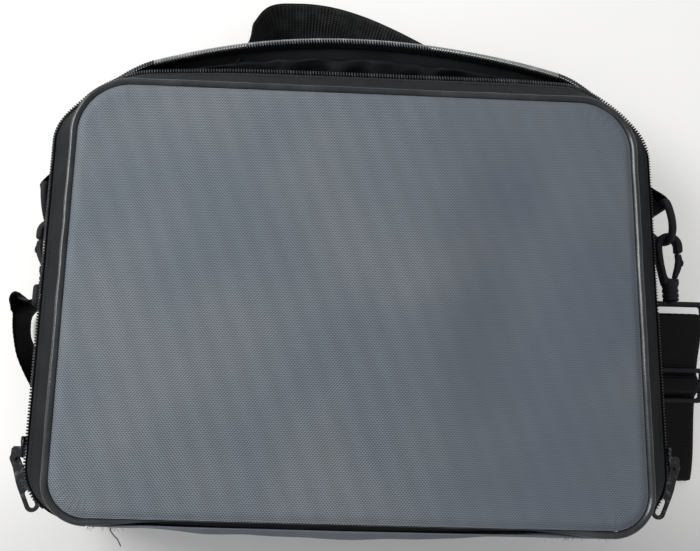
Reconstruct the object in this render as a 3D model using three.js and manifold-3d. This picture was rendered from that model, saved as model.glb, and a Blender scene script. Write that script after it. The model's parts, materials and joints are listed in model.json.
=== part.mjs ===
import * as THREE from 'three'
import { mergeVertices } from 'three/addons/utils/BufferGeometryUtils.js'
import Module from 'manifold-3d'

// A soft zip-round carry case for a classroom instrument, lying on its back with the lid unzipped but closed.
// Millimetres. +X to the right, +Y towards the carry handle, +Z up out of the front panel. The origin is on the
// floor under the middle of the back panel, where the case lies on the strap that runs beneath it.

const wasm = await Module()
wasm.setup()

// Clearances
const SEAM_GAP = 0.3
const SLIDE_GAP = 0.3

// Panels and their piping
const PANEL_WIDTH = 372.4
const PANEL_LENGTH = 278
const PANEL_CORNER_TOP = 36
const PANEL_CORNER_BOTTOM = 26
const PANEL_THICKNESS = 4
const PANEL_CROWN = 3.4
const PIPING_DIAMETER = 4.6

// Depth, from the back piping to the zip and from the zip to the front piping
const BODY_DEPTH = 56.9
const LID_DEPTH = 17.7

// How far the zip line stands outside the panel edge, and its own corners
const RIM_FLARE_SIDE = 12.6
const RIM_FLARE_TOP = 19
const RIM_FLARE_BOTTOM = 0.5
const RIM_CORNER_TOP_RIGHT = 56
const RIM_CORNER_TOP_LEFT = 58
const RIM_CORNER_BOTTOM = 34

// The open mouth at the top, where the body's zip bows out and sags below the lid's
const MOUTH_BOW = 33
const MOUTH_SAG = 12
const MOUTH_SHAPE = 0.9

// Cloth layers
const FABRIC_THICKNESS = 1.2
const FOAM_THICKNESS = 4
const LINING_THICKNESS = 0.9
const BOARD_THICKNESS = 1.4
const WALL_BULGE = 3.5
const BASE_BULGE = 8.7

// Zip
const TAPE_THICKNESS = 0.9
const TAPE_WIDTH = 6.8
const TAPE_LAP = 0.5
const COIL_THICKNESS = 2.6
const COIL_WIDTH = 2.6
const TOOTH_PITCH = 5.7
const TOOTH_DEPTH = 1.1
const ROW_GAP = 2.6
const STOP_LENGTH = 4

// Slider and pull
const SLIDER_LENGTH = 13
const SLIDER_WIDTH = 10.4
const SLIDER_NOSE = 7.2
const PLATE_THICKNESS = 1.2
const POST_LENGTH = 4
const SLIDER_TO_CORNER = 9
const BAIL_REACH = 4.2
const BAIL_BAR = 1.8
const BAIL_LENGTH = 7
const PULL_LENGTH = 35
const PULL_WIDTH = 9
const PULL_NECK = 6
const PULL_THICKNESS = 1.5
const PULL_HOLE_LENGTH = 11
const PULL_HOLE_WIDTH = 3.8
const PULL_RIM = 2.6
const PULL_FOLD = 25

// Webbing
const WEBBING_WIDTH = 38
const WEBBING_THICKNESS = 2
const HANDLE_SPAN = 188
const HANDLE_CENTRE = -2
const HANDLE_REACH = 46
const HANDLE_DROP = 11
const HANDLE_LEAN = 40
const HANDLE_STANDOFF = 2.6
const PATCH_LENGTH = 26

// Rings and hooks at the two ends of the shoulder strap
const RING_BAR = 5
const RING_OPENING = 40
const RING_DEPTH = 25
const RIGHT_RING_Y = 76
const RIGHT_RING_STANDOFF = 13.2
const RIGHT_RING_Z = 35
const LEFT_RING_Y = 76
const LEFT_RING_STANDOFF = 8.1
const LEFT_RING_Z = 26
const RIGHT_RING_SWING = 22
const LEFT_RING_SWING = -2
const TAB_LENGTH = 34
const HOOK_THICKNESS = 8
const HOOK_BAR = 4.6
const HOOK_THROAT = 10
const HOOK_LENGTH = 28
const GATE_BAR = 3
const GATE_THICKNESS = 5
const BARREL_DIAMETER = 11
const BARREL_LENGTH = 11
const STEM_DIAMETER = 5
const STEM_HEAD = 7.4
const LOOP_SLOT_LENGTH = 40
const LOOP_SLOT_WIDTH = 8
const LOOP_BAR = 3.6
const LOOP_THICKNESS = 4.4
const ADJUSTER_BAR = 3.2
const ADJUSTER_SLOT = 7.4
const ADJUSTER_THICKNESS = 2.2
const ADJUSTER_PLACE = 44
const STRAP_FAR_END = 112
const STRAP_CROSSING = 62
const STRAP_TURN = 3.2
const STRAP_LAP = 24
const LOOP_REACH = 16
const LOOP_RUN = 50

// How finely the outline is divided: steps along each side and round each corner
const BASE_STEPS = 8
const SIDE_STEPS = 3
const TOP_STEPS = 12
const CORNER_STEPS = 6
const ROUND_STEPS = 8

// Heights
const BACK_Z = WEBBING_THICKNESS + SEAM_GAP + PIPING_DIAMETER / 2
const ZIP_Z = BACK_Z + BODY_DEPTH
const FRONT_Z = ZIP_Z + LID_DEPTH
const BODY_ROW_Z = ZIP_Z - ROW_GAP / 2
const LID_ROW_Z = ZIP_Z + ROW_GAP / 2

const V = (x, y, z) => new THREE.Vector3(x, y, z)
const UP = V(0, 0, 1)
const mix = (a, b, t) => a + (b - a) * t
const mixPoint = (a, b, t) => a.clone().lerp(b, t)

// Mesh helpers

function solid(points, faces) {
  const geometry = new THREE.BufferGeometry()
  geometry.setAttribute('position', new THREE.Float32BufferAttribute(points.flatMap(p => p.toArray()), 3))
  geometry.setIndex(faces.flat())
  return facingOut(geometry)
}

function facingOut(geometry) {
  const index = geometry.index.array
  const place = geometry.attributes.position
  const corners = [V(), V(), V()]
  let volume = 0
  for (let i = 0; i < index.length; i += 3) {
    corners.forEach((corner, k) => corner.fromBufferAttribute(place, index[i + k]))
    volume += corners[0].dot(corners[1].clone().cross(corners[2]))
  }
  if (volume < 0) {
    for (let i = 0; i < index.length; i += 3) [index[i], index[i + 1]] = [index[i + 1], index[i]]
  }
  return geometry
}

// Joins the same-numbered points of two rings with a band of triangles. Each face is split from its lower,
// earlier corner, so that the layers of a wall bend along the same creases.
function band(points, from, to, count, levelsApart = false) {
  const faces = []
  for (let i = 0; i < count; i++) {
    const j = (i + 1) % count
    const [a, b, c, d] = [from + i, from + j, to + j, to + i]
    const rises = points[levelsApart ? d : b].z >= points[a].z
    faces.push(...(rises ? [[a, b, c], [a, c, d]] : [[a, b, d], [b, c, d]]))
  }
  return faces
}

// A closed skin over rings stacked from one pole to the other, such as a panel or a tub.
function skin(firstPole, rings, lastPole) {
  const count = rings[0].length
  const points = [firstPole, ...rings.flat(), lastPole]
  const faces = []
  for (let i = 0; i < count; i++) {
    const j = (i + 1) % count
    faces.push([0, 1 + j, 1 + i])
    const last = 1 + (rings.length - 1) * count
    faces.push([points.length - 1, last + i, last + j])
  }
  for (let r = 0; r + 1 < rings.length; r++) faces.push(...band(points, 1 + r * count, 1 + (r + 1) * count, count, true))
  return solid(points, faces)
}

// Sweeps a section round a closed path. Each entry of sections is that section at one station.
function hoop(sections) {
  const count = sections[0].length
  const points = sections.flat()
  const faces = sections.flatMap((_, s) => band(points, s * count, ((s + 1) % sections.length) * count, count))
  return solid(points, faces)
}

// Sweeps a section along an open path. Each end is closed by rungs between the two halves of the section.
function run(sections) {
  const count = sections[0].length
  const points = sections.flat()
  const last = (sections.length - 1) * count
  const rungs = Array.from({ length: count / 2 - 1 }, (_, k) => [k, k + 1, count - 2 - k, count - 1 - k])
  const cap = rungs.flatMap(([a, b, c, d]) => [[a, b, c], [a, c, d]])
  const faces = cap.flatMap(face => [face, face.map(i => last + i)])
  for (let s = 0; s + 1 < sections.length; s++) faces.push(...band(points, s * count, (s + 1) * count, count))
  return solid(points, orient(faces))
}

// Turns the faces of a closed mesh so that neighbours agree, whichever way the caps came out.
function orient(faces) {
  const edges = new Map()
  faces.forEach((face, f) => {
    for (let k = 0; k < 3; k++) {
      const [a, b] = [face[k], face[(k + 1) % 3]]
      const key = a < b ? `${a} ${b}` : `${b} ${a}`
      if (!edges.has(key)) edges.set(key, [])
      edges.get(key).push(f)
    }
  })
  const has = (face, a, b) => face.some((v, k) => v === a && face[(k + 1) % 3] === b)
  const seen = new Set([0])
  const queue = [0]
  while (queue.length) {
    const f = queue.pop()
    const face = faces[f]
    for (let k = 0; k < 3; k++) {
      const [a, b] = [face[k], face[(k + 1) % 3]]
      for (const g of edges.get(a < b ? `${a} ${b}` : `${b} ${a}`)) {
        if (seen.has(g)) continue
        if (has(faces[g], a, b)) faces[g].reverse()
        seen.add(g)
        queue.push(g)
      }
    }
  }
  return faces
}

function extrude(shape, depth, curveSegments = ROUND_STEPS) {
  return new THREE.ExtrudeGeometry(shape, { depth, bevelEnabled: false, curveSegments, steps: 1 })
}

function toManifold(geometry) {
  const bare = geometry.clone()
  for (const name of Object.keys(bare.attributes)) if (name !== 'position') bare.deleteAttribute(name)
  const merged = mergeVertices(bare, SEAM_GAP / 1000)
  const mesh = new wasm.Mesh({
    numProp: 3,
    vertProperties: new Float32Array(merged.attributes.position.array),
    triVerts: new Uint32Array(merged.index.array)
  })
  return new wasm.Manifold(mesh)
}

function fromManifold(body) {
  const mesh = body.getMesh()
  const geometry = new THREE.BufferGeometry()
  geometry.setAttribute('position', new THREE.BufferAttribute(new Float32Array(mesh.vertProperties), 3))
  geometry.setIndex(new THREE.BufferAttribute(new Uint32Array(mesh.triVerts), 1))
  return geometry
}

const union = (...parts) => fromManifold(parts.map(toManifold).reduce((a, b) => a.add(b)))
const subtract = (part, tool) => fromManifold(toManifold(part).subtract(toManifold(tool)))

const group = new THREE.Group()
group.name = 'carry_case'

function finish(color, roughness, metalness = 0) {
  return () => new THREE.MeshStandardMaterial({ color, roughness, metalness })
}

const twill = finish(0x5d666d, 0.85)
const blackCloth = finish(0x202224, 0.9)
const blackWeb = finish(0x17181a, 0.85)
const pvc = finish(0x2a2c2e, 0.45)
const foam = finish(0x3a3c3e, 0.95)
const lining = finish(0x1c1e22, 0.8)
const acetal = finish(0x141516, 0.4)
const zinc = finish(0x55575a, 0.4, 0.9)

function add(name, geometry, material) {
  const mesh = new THREE.Mesh(geometry, material())
  mesh.name = name
  group.add(mesh)
  return mesh
}

// Outlines: every closed outline has the same stations, so walls can be lofted from one to another.

function outline({ halfWidth, top, bottom, topRight, topLeft, bottomCorner, bow = 0 }) {
  const arcs = [
    { x: halfWidth - bottomCorner, y: bottom + bottomCorner, r: bottomCorner, from: -90 },
    { x: halfWidth - topRight, y: top - topRight, r: topRight, from: 0 },
    { x: -halfWidth + topLeft, y: top - topLeft, r: topLeft, from: 90 },
    { x: -halfWidth + bottomCorner, y: bottom + bottomCorner, r: bottomCorner, from: 180 }
  ]
  const steps = [SIDE_STEPS, TOP_STEPS, SIDE_STEPS, BASE_STEPS]
  const arcPoint = (arc, turn) => {
    const angle = THREE.MathUtils.degToRad(arc.from + turn)
    const normal = V(Math.cos(angle), Math.sin(angle), 0)
    return { place: V(arc.x, arc.y, 0).addScaledVector(normal, arc.r), normal }
  }
  const points = []
  arcs.forEach((arc, side) => {
    for (let i = 0; i < CORNER_STEPS; i++) points.push(arcPoint(arc, (90 * i) / CORNER_STEPS))
    const start = arcPoint(arc, 90)
    const end = arcPoint(arcs[(side + 1) % 4], 0)
    for (let i = 0; i < steps[side]; i++) {
      points.push({ place: mixPoint(start.place, end.place, i / steps[side]), normal: start.normal.clone() })
    }
  })
  for (const point of points) {
    const corner = point.place.x > 0 ? topRight : topLeft
    const across = Math.min(1, Math.abs(point.place.x) / (halfWidth - corner / 2))
    const share = point.place.y > 0 ? mouthShare(across, point.normal.y) : 0
    point.place.y += bow * share
    point.share = share
  }
  return points
}

// 1 at the middle of the mouth, falling smoothly to 0 at the top corners.
function mouthShare(across, facing) {
  return facing > 0 ? Math.cos((across * Math.PI) / 2) ** MOUTH_SHAPE : 0
}

const BASE_START = 4 * CORNER_STEPS + 2 * SIDE_STEPS + TOP_STEPS
const STATIONS = BASE_START + BASE_STEPS

const pipingLine = outline({
  halfWidth: (PANEL_WIDTH - PIPING_DIAMETER) / 2,
  top: (PANEL_LENGTH - PIPING_DIAMETER) / 2,
  bottom: -(PANEL_LENGTH - PIPING_DIAMETER) / 2,
  topRight: PANEL_CORNER_TOP,
  topLeft: PANEL_CORNER_TOP,
  bottomCorner: PANEL_CORNER_BOTTOM
})
const rimShape = {
  halfWidth: PANEL_WIDTH / 2 + RIM_FLARE_SIDE,
  top: PANEL_LENGTH / 2 + RIM_FLARE_TOP,
  bottom: -PANEL_LENGTH / 2 - RIM_FLARE_BOTTOM,
  topRight: RIM_CORNER_TOP_RIGHT,
  topLeft: RIM_CORNER_TOP_LEFT,
  bottomCorner: RIM_CORNER_BOTTOM
}
const lidRim = outline(rimShape)
const bodyRim = outline({ ...rimShape, bow: MOUTH_BOW })

// One station of a wall: its outward direction and its centre line from the panel seam to the rim.
function station(u) {
  const i = Math.floor(u) % STATIONS
  const j = (i + 1) % STATIONS
  const t = u - Math.floor(u)
  const blend = (line, key) => mixPoint(line[i][key], line[j][key], t)
  const share = mix(bodyRim[i].share, bodyRim[j].share, t)
  return {
    u,
    share,
    normal: blend(pipingLine, 'normal').normalize(),
    seam: blend(pipingLine, 'place'),
    lid: blend(lidRim, 'place').setZ(LID_ROW_Z),
    body: blend(bodyRim, 'place').setZ(BODY_ROW_Z - MOUTH_SAG * share),
    lean: share * bodyLean
  }
}

const bodyLean = Math.atan2(MOUTH_BOW + RIM_FLARE_TOP, BODY_DEPTH - MOUTH_SAG)
const wholeRing = Array.from({ length: STATIONS }, (_, i) => station(i))
const zipStart = CORNER_STEPS / 2
const zipEnd = BASE_START - CORNER_STEPS / 2
const baseShare = (3 * SEAM_GAP) / ((PANEL_WIDTH - 2 * PANEL_CORNER_BOTTOM) / BASE_STEPS)
const gussetStations = stationsBetween(0, BASE_START)
const baseStations = stationsBetween(BASE_START + baseShare, STATIONS - baseShare)
const zipStations = stationsBetween(zipStart, zipEnd)

function stationsBetween(from, to) {
  const list = [station(from)]
  for (let i = Math.floor(from) + 1; i < to; i++) list.push(station(i))
  list.push(station(to))
  return list
}

// Moves the points of a wall line square to it, inwards by a distance.
function inwards(line, normal, distance) {
  return line.map((point, k) => {
    const along = line[Math.min(k + 1, line.length - 1)].clone().sub(line[Math.max(k - 1, 0)])
    const out = normal.clone().multiplyScalar(along.z).addScaledVector(UP, -along.dot(normal)).normalize()
    return point.clone().addScaledVector(out, -distance)
  })
}

// A point beside a row of teeth: a across the tape, outwards, and b along it, towards the teeth.
function besideRow(at, row, toTeeth, lean, a, b) {
  const side = at.normal.clone().multiplyScalar(Math.cos(lean)).addScaledVector(UP, -Math.sin(lean))
  const along = UP.clone().multiplyScalar(Math.cos(lean)).addScaledVector(at.normal, Math.sin(lean))
  return row.clone().addScaledVector(side, a).addScaledVector(along, toTeeth * b)
}
const onBody = (at, a, b) => besideRow(at, at.body, 1, at.lean, a, b)
const onLid = (at, a, b) => besideRow(at, at.lid, -1, 0, a, b)

// Wall lines, from the panel seam to the cloth edge beside the zip, on the outer face of the gusset.
const clothOut = SEAM_GAP + FABRIC_THICKNESS
const bulgeShares = [0, 0.22, 0.5, 0.8, 1]

const seamFoot = BACK_Z + PIPING_DIAMETER / 2 + SEAM_GAP
const seamHead = FRONT_Z - PIPING_DIAMETER / 2 - SEAM_GAP
const onBase = at => at.u >= BASE_START
const baseFullness = at => (onBase(at) ? BASE_BULGE * Math.sin((Math.PI * (at.u - BASE_START)) / BASE_STEPS) : 0)

function bodyWall(at) {
  const low = at.seam.clone().setZ(seamFoot).addScaledVector(at.normal, PIPING_DIAMETER / 2)
  const high = onBody(at, clothOut, TAPE_LAP - TAPE_WIDTH)
  return bulgeShares.map(t => mixPoint(low, high, t).addScaledVector(
    at.normal, WALL_BULGE * (1 - at.share) * Math.sin(Math.PI * t) + baseFullness(at) * t))
}

function lidWall(at) {
  const high = at.seam.clone().setZ(seamHead).addScaledVector(at.normal, PIPING_DIAMETER / 2)
  const low = onLid(at, clothOut, -TAPE_WIDTH - clothOut).addScaledVector(at.normal, baseFullness(at))
  return [low, mixPoint(low, high, bulgeShares[2]).addScaledVector(UP, SEAM_GAP), high]
}

// The walls at a distance inside their outer face. The base has no zip: there they run on, past the level
// of the tapes, to the cloth hinge.
const bodyGussetLine = (at, distance) => inwards(bodyWall(at), at.normal, distance)
const lidGussetLine = (at, distance) => inwards(lidWall(at), at.normal, distance)

function bodyBaseLine(at, distance) {
  const wall = bodyGussetLine(at, distance)
  return [...wall, wall.at(-1).clone().setZ(ZIP_Z - SEAM_GAP)]
}

function lidBaseLine(at, distance) {
  const wall = lidGussetLine(at, distance)
  return [wall[0].clone().setZ(ZIP_Z + SEAM_GAP), ...wall]
}

// Shortens the end of a line by a distance.
function shorten(line, distance, fromStart = false) {
  const points = fromStart ? [...line].reverse() : [...line]
  const end = points.at(-1)
  const before = points.at(-2)
  points[points.length - 1] = mixPoint(end, before, distance / end.distanceTo(before))
  return fromStart ? points.reverse() : points
}

// Piping: a round cord round each panel's edge.
function piping(z) {
  return hoop(wholeRing.map(at => Array.from({ length: ROUND_STEPS }, (_, i) => {
    const angle = (2 * Math.PI * i) / ROUND_STEPS
    return at.seam.clone().setZ(z)
      .addScaledVector(at.normal, (Math.cos(angle) * PIPING_DIAMETER) / 2)
      .addScaledVector(UP, (Math.sin(angle) * PIPING_DIAMETER) / 2)
  })))
}

// A flat or crowned panel inside the piping line. Each crown ring is a share of the half size and of the rise.
const crownShares = [[0.3, 0.97], [0.62, 0.84], [0.82, 0.6], [0.94, 0.28]]
function panel(z, thickness, inset, crown = 0) {
  const edge = wholeRing.map(at => at.seam.clone().addScaledVector(at.normal, -inset))
  const ring = (share, height) => edge.map(point => point.clone().multiplyScalar(share).setZ(height))
  const top = z + thickness
  const crownRings = crown ? crownShares.map(([share, rise]) => ring(share, top + crown * rise)) : []
  return skin(V(0, 0, top + crown), [...crownRings, ring(1, top), ring(1, z)], V(0, 0, z))
}

const panelInset = PIPING_DIAMETER / 2 + SEAM_GAP
add('back_piping', piping(BACK_Z), pvc)
add('back_panel', panel(BACK_Z - PANEL_THICKNESS / 2, PANEL_THICKNESS, panelInset), blackCloth)
add('front_piping', piping(FRONT_Z), pvc)
add('front_panel', panel(FRONT_Z - PANEL_THICKNESS / 2, PANEL_THICKNESS, panelInset, PANEL_CROWN), twill)
add('lid_board', panel(seamHead - BOARD_THICKNESS, BOARD_THICKNESS, panelInset), foam)

// Gussets, base walls and zip tapes are strips of cloth along the outline.
function strip(stations, line) {
  return run(stations.map(at => [...line(at, 0), ...line(at, FABRIC_THICKNESS).reverse()]))
}

add('body_gusset', strip(gussetStations, bodyGussetLine), blackCloth)
add('lid_gusset', strip(gussetStations, lidGussetLine), blackCloth)
add('body_base_wall', strip(baseStations, bodyBaseLine), twill)
add('lid_base_wall', strip(baseStations, lidBaseLine), twill)

const tapeEdge = TAPE_THICKNESS + SEAM_GAP
function tape(place) {
  return run(gussetStations.map(at => [
    place(at, -SEAM_GAP, -TAPE_WIDTH),
    place(at, -SEAM_GAP, -TOOTH_DEPTH / 2),
    place(at, -tapeEdge, -TOOTH_DEPTH / 2),
    place(at, -tapeEdge, -TAPE_WIDTH)
  ]))
}
add('body_zip_tape', tape(onBody), blackWeb)
add('lid_zip_tape', tape(onLid), blackWeb)

// Teeth: a comb along the tape edge, with a plain back and a zigzag front.
function teeth(place) {
  const points = []
  const faces = []
  const push = point => points.push(point) - 1
  const back = at => [push(place(at, 0, -COIL_WIDTH)), push(place(at, COIL_THICKNESS, -COIL_WIDTH))]
  const front = (at, tip) => [
    push(place(at, 0, tip ? 0 : -TOOTH_DEPTH)),
    push(place(at, tip ? COIL_THICKNESS : COIL_THICKNESS - TOOTH_DEPTH, tip ? 0 : -TOOTH_DEPTH))
  ]
  let backBefore = back(zipStations[0])
  let frontBefore = front(zipStations[0], false)
  faces.push([backBefore[0], backBefore[1], frontBefore[1]], [backBefore[0], frontBefore[1], frontBefore[0]])
  for (let k = 0; k + 1 < zipStations.length; k++) {
    const [from, to] = [zipStations[k], zipStations[k + 1]]
    const steps = 2 * Math.max(1, Math.round(place(from, 0, 0).distanceTo(place(to, 0, 0)) / TOOTH_PITCH))
    const backAfter = back(to)
    for (let j = 1; j <= steps; j++) {
      const frontAfter = front(station(mix(from.u, to.u, j / steps)), j % 2 === 1)
      const near = j <= steps / 2 ? backBefore : backAfter
      faces.push([near[1], frontBefore[1], frontAfter[1]], [near[0], frontAfter[0], frontBefore[0]])
      faces.push([frontBefore[0], frontAfter[0], frontAfter[1]], [frontBefore[0], frontAfter[1], frontBefore[1]])
      if (j === steps / 2) {
        faces.push([backBefore[1], frontAfter[1], backAfter[1]], [backBefore[0], backAfter[0], frontAfter[0]])
      }
      frontBefore = frontAfter
    }
    faces.push([backBefore[0], backBefore[1], backAfter[1]], [backBefore[0], backAfter[1], backAfter[0]])
    backBefore = backAfter
  }
  faces.push([backBefore[0], frontBefore[1], backBefore[1]], [backBefore[0], frontBefore[0], frontBefore[1]])
  return solid(points, orient(faces))
}
add('body_zip_teeth', teeth(onBody), acetal)
add('lid_zip_teeth', teeth(onLid), acetal)

// Stops: a small clip on the body's row, just past each end of the teeth.
function zipStop(u, facing) {
  const sections = [0, 1].map(k => {
    const at = station(u + facing * baseShare * (1 + (k * STOP_LENGTH) / SEAM_GAP))
    return [[0, -COIL_WIDTH], [COIL_THICKNESS, -COIL_WIDTH], [COIL_THICKNESS, 0], [0, 0]]
      .map(([a, b]) => onBody(at, a, b))
  })
  return run(sections)
}
add('right_zip_stop', zipStop(zipStart, -1), zinc)
add('left_zip_stop', zipStop(zipEnd, 1), zinc)

// Inside the body: a foam tub, and a cloth lining inside it. Both stop short of the zip tape.
const wallTrim = TAPE_LAP + 5 * SEAM_GAP
const ringsOf = lines => lines[0].map((_, k) => lines.map(line => line[k]))
function tub(outer, thickness, floorZ) {
  const shell = (distance, bottom) => wholeRing.map(at => {
    const [foot, ...rest] = inwards(shorten(bodyWall(at), wallTrim), at.normal, distance)
    return [mixPoint(foot, rest[0], (bottom - foot.z) / (rest[0].z - foot.z)), ...rest]
  })
  const outside = ringsOf(shell(outer, floorZ))
  const inside = ringsOf(shell(outer + thickness, floorZ + thickness))
  return skin(V(0, 0, floorZ), [...outside, ...inside.reverse()], V(0, 0, floorZ + thickness))
}
const foamOuter = FABRIC_THICKNESS + SEAM_GAP
const liningOuter = foamOuter + FOAM_THICKNESS + SEAM_GAP
add('body_foam', tub(foamOuter, FOAM_THICKNESS, seamFoot), foam)
add('body_lining', tub(liningOuter, LINING_THICKNESS, seamFoot + FOAM_THICKNESS + SEAM_GAP), lining)

// Inside the lid: a cloth lining with a skirt along the gusset.
function lidTray() {
  const topZ = seamHead - BOARD_THICKNESS - 2 * SEAM_GAP
  const shell = (distance, z) => wholeRing.map(at => {
    const line = shorten(lidWall(at), wallTrim + clothOut + LINING_THICKNESS, true)
    const inner = inwards(line, at.normal, distance)
    const shelf = at.seam.clone().addScaledVector(at.normal, -panelInset - distance).setZ(z)
    return [inner[0], inner.at(-1).clone().setZ(z), shelf]
  })
  const outside = ringsOf(shell(foamOuter, topZ))
  const inside = ringsOf(shell(foamOuter + LINING_THICKNESS, topZ - LINING_THICKNESS))
  return skin(V(0, 0, topZ), [...outside.reverse(), ...inside], V(0, 0, topZ - LINING_THICKNESS))
}
add('lid_lining', lidTray(), lining)

// Sliders and pulls. The slider's two plates lie either side of both tapes, joined by a post between the rows.
const rimSide = rimShape.halfWidth
const sliderY = rimShape.bottom + RIM_CORNER_BOTTOM + SLIDER_TO_CORNER
const outerFace = COIL_THICKNESS + SLIDE_GAP
const innerFace = -tapeEdge - SLIDE_GAP
const bailX = outerFace + PLATE_THICKNESS + BAIL_REACH
const bailY = -SLIDER_LENGTH / 2
const pullEye = BAIL_BAR / 2 + SLIDE_GAP

// Turns a shape drawn along Y and Z to stand out along X.
const standing = new THREE.Matrix4().makeBasis(V(0, 1, 0), V(0, 0, 1), V(1, 0, 0))

function block(from, to) {
  const size = to.clone().sub(from)
  return new THREE.BoxGeometry(size.x, size.y, size.z).translate(...mixPoint(from, to, 1 / 2).toArray())
}

function place(geometry, side, x, y, z, turn = 0) {
  geometry.applyMatrix4(new THREE.Matrix4().makeRotationZ(turn)).translate(x, y, z)
  geometry.applyMatrix4(new THREE.Matrix4().makeScale(side, 1, 1))
  const loose = geometry.index ? geometry.toNonIndexed() : geometry
  const bare = new THREE.BufferGeometry().setAttribute('position', loose.attributes.position)
  return facingOut(mergeVertices(bare, SEAM_GAP / 1000))
}

function slider() {
  const nose = SLIDER_NOSE / 2
  const shoulder = SLIDER_WIDTH / 2
  const half = SLIDER_LENGTH / 2
  const outlinePoints = [
    [-half, -nose / 2], [-half + nose / 2, -nose], [0, -nose], [half / 2, -shoulder], [half, -shoulder],
    [half, shoulder], [half / 2, shoulder], [0, nose], [-half + nose / 2, nose], [-half, nose / 2]
  ].map(([y, z]) => new THREE.Vector2(y, z))
  const plate = x => extrude(new THREE.Shape(outlinePoints), PLATE_THICKNESS).applyMatrix4(standing).translate(x, 0, 0)
  const postHalf = ROW_GAP / 2 - SLIDE_GAP
  const post = block(
    V(innerFace - PLATE_THICKNESS / 2, half - POST_LENGTH, -postHalf),
    V(outerFace + PLATE_THICKNESS / 2, half - SLIDE_GAP, postHalf))
  const lugIn = PULL_THICKNESS / 2 + SLIDE_GAP
  const lug = z => block(
    V(outerFace + PLATE_THICKNESS / 2, bailY + SLIDE_GAP, z), V(bailX + BAIL_BAR, bailY + BAIL_LENGTH, z + BAIL_BAR))
  const arm = z => block(V(bailX - BAIL_BAR, bailY - BAIL_BAR, z), V(bailX + BAIL_BAR, bailY + BAIL_LENGTH, z + BAIL_BAR))
  const bar = new THREE.CylinderGeometry(BAIL_BAR / 2, BAIL_BAR / 2, 2 * lugIn + BAIL_BAR, ROUND_STEPS)
    .rotateX(Math.PI / 2).translate(bailX, bailY, 0)
  return union(plate(outerFace), plate(innerFace - PLATE_THICKNESS), post,
    lug(lugIn), lug(-lugIn - BAIL_BAR), arm(lugIn), arm(-lugIn - BAIL_BAR), bar)
}

function pull() {
  const eye = pullEye + BAIL_BAR
  const tip = PULL_WIDTH / 2
  const end = PULL_LENGTH - tip
  const shape = new THREE.Shape()
  shape.absarc(0, 0, eye, 0, Math.PI)
  shape.lineTo(-PULL_NECK / 2, -PULL_NECK)
  shape.lineTo(-tip, -end / 2)
  shape.lineTo(-tip, -end)
  shape.absarc(0, -end, tip, Math.PI, 2 * Math.PI)
  shape.lineTo(tip, -end / 2)
  shape.lineTo(PULL_NECK / 2, -PULL_NECK)
  const eyeHole = new THREE.Path().absarc(0, 0, pullEye, 0, 2 * Math.PI, true)
  const slotTop = -end - tip + PULL_RIM + PULL_HOLE_LENGTH - PULL_HOLE_WIDTH / 2
  const slotEnd = slotTop - PULL_HOLE_LENGTH + PULL_HOLE_WIDTH
  const slot = new THREE.Path()
  slot.absarc(0, slotTop, PULL_HOLE_WIDTH / 2, 0, Math.PI, false)
  slot.absarc(0, slotEnd, PULL_HOLE_WIDTH / 2, Math.PI, 2 * Math.PI, false)
  shape.holes.push(eyeHole, slot)
  return extrude(shape, PULL_THICKNESS, ROUND_STEPS / 2).translate(0, 0, -PULL_THICKNESS / 2)
}

for (const [name, side] of [['right', 1], ['left', -1]]) {
  add(`${name}_slider`, place(slider(), side, rimSide, sliderY, ZIP_Z), zinc)
  const fold = -THREE.MathUtils.degToRad(PULL_FOLD)
  add(`${name}_pull`, place(pull().rotateZ(fold), side, rimSide + bailX, sliderY + bailY, ZIP_Z), zinc)
}

// Webbing: a flat ribbon through stations of a centre and the half width that points along its edge.
function ribbon(route, thickness = WEBBING_THICKNESS) {
  return run(route.map(({ centre, half }, k) => {
    const along = route[Math.min(k + 1, route.length - 1)].centre.clone().sub(route[Math.max(k - 1, 0)].centre)
    const out = along.cross(half).normalize().multiplyScalar(thickness / 2)
    return [
      centre.clone().sub(half).sub(out), centre.clone().add(half).sub(out),
      centre.clone().add(half).add(out), centre.clone().sub(half).add(out)
    ]
  }))
}
const halfWeb = WEBBING_WIDTH / 2

// The top wall where a piece is sewn on: the station whose rim lies at a given x.
const topStart = 2 * CORNER_STEPS + SIDE_STEPS
const topRightEnd = rimShape.halfWidth - RIM_CORNER_TOP_RIGHT
const topLeftEnd = RIM_CORNER_TOP_LEFT - rimShape.halfWidth
const topStation = x => station(topStart + (TOP_STEPS * (topRightEnd - x)) / (topRightEnd - topLeftEnd))

function wallPoint(at, share, distance) {
  const line = inwards(bodyWall(at), at.normal, -distance)
  return mixPoint(line[0], line.at(-1), share)
}

// Carry handle: a strip of webbing between two sewn patches, standing off the top wall, fullest near its left.
const patchShares = [0.36, 0.5, 0.64, 0.78]
function patch(x) {
  const [from, to] = [1, -1].map(k => topStation(x + (k * PATCH_LENGTH) / 2).u)
  return run(stationsBetween(from, to).map(at => {
    const face = distance => inwards(bodyWall(at), at.normal, -distance)
    const cut = line => patchShares.map(share => {
      const k = bulgeShares.findIndex(b => b >= share)
      return mixPoint(line[k - 1], line[k], (share - bulgeShares[k - 1]) / (bulgeShares[k] - bulgeShares[k - 1]))
    })
    return [...cut(face(2 * SEAM_GAP + WEBBING_THICKNESS)), ...cut(face(2 * SEAM_GAP)).reverse()]
  }))
}
const patchX = side => HANDLE_CENTRE + (side * HANDLE_SPAN) / 2
add('handle_patch_left', patch(patchX(-1)), blackWeb)
add('handle_patch_right', patch(patchX(1)), blackWeb)

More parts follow.
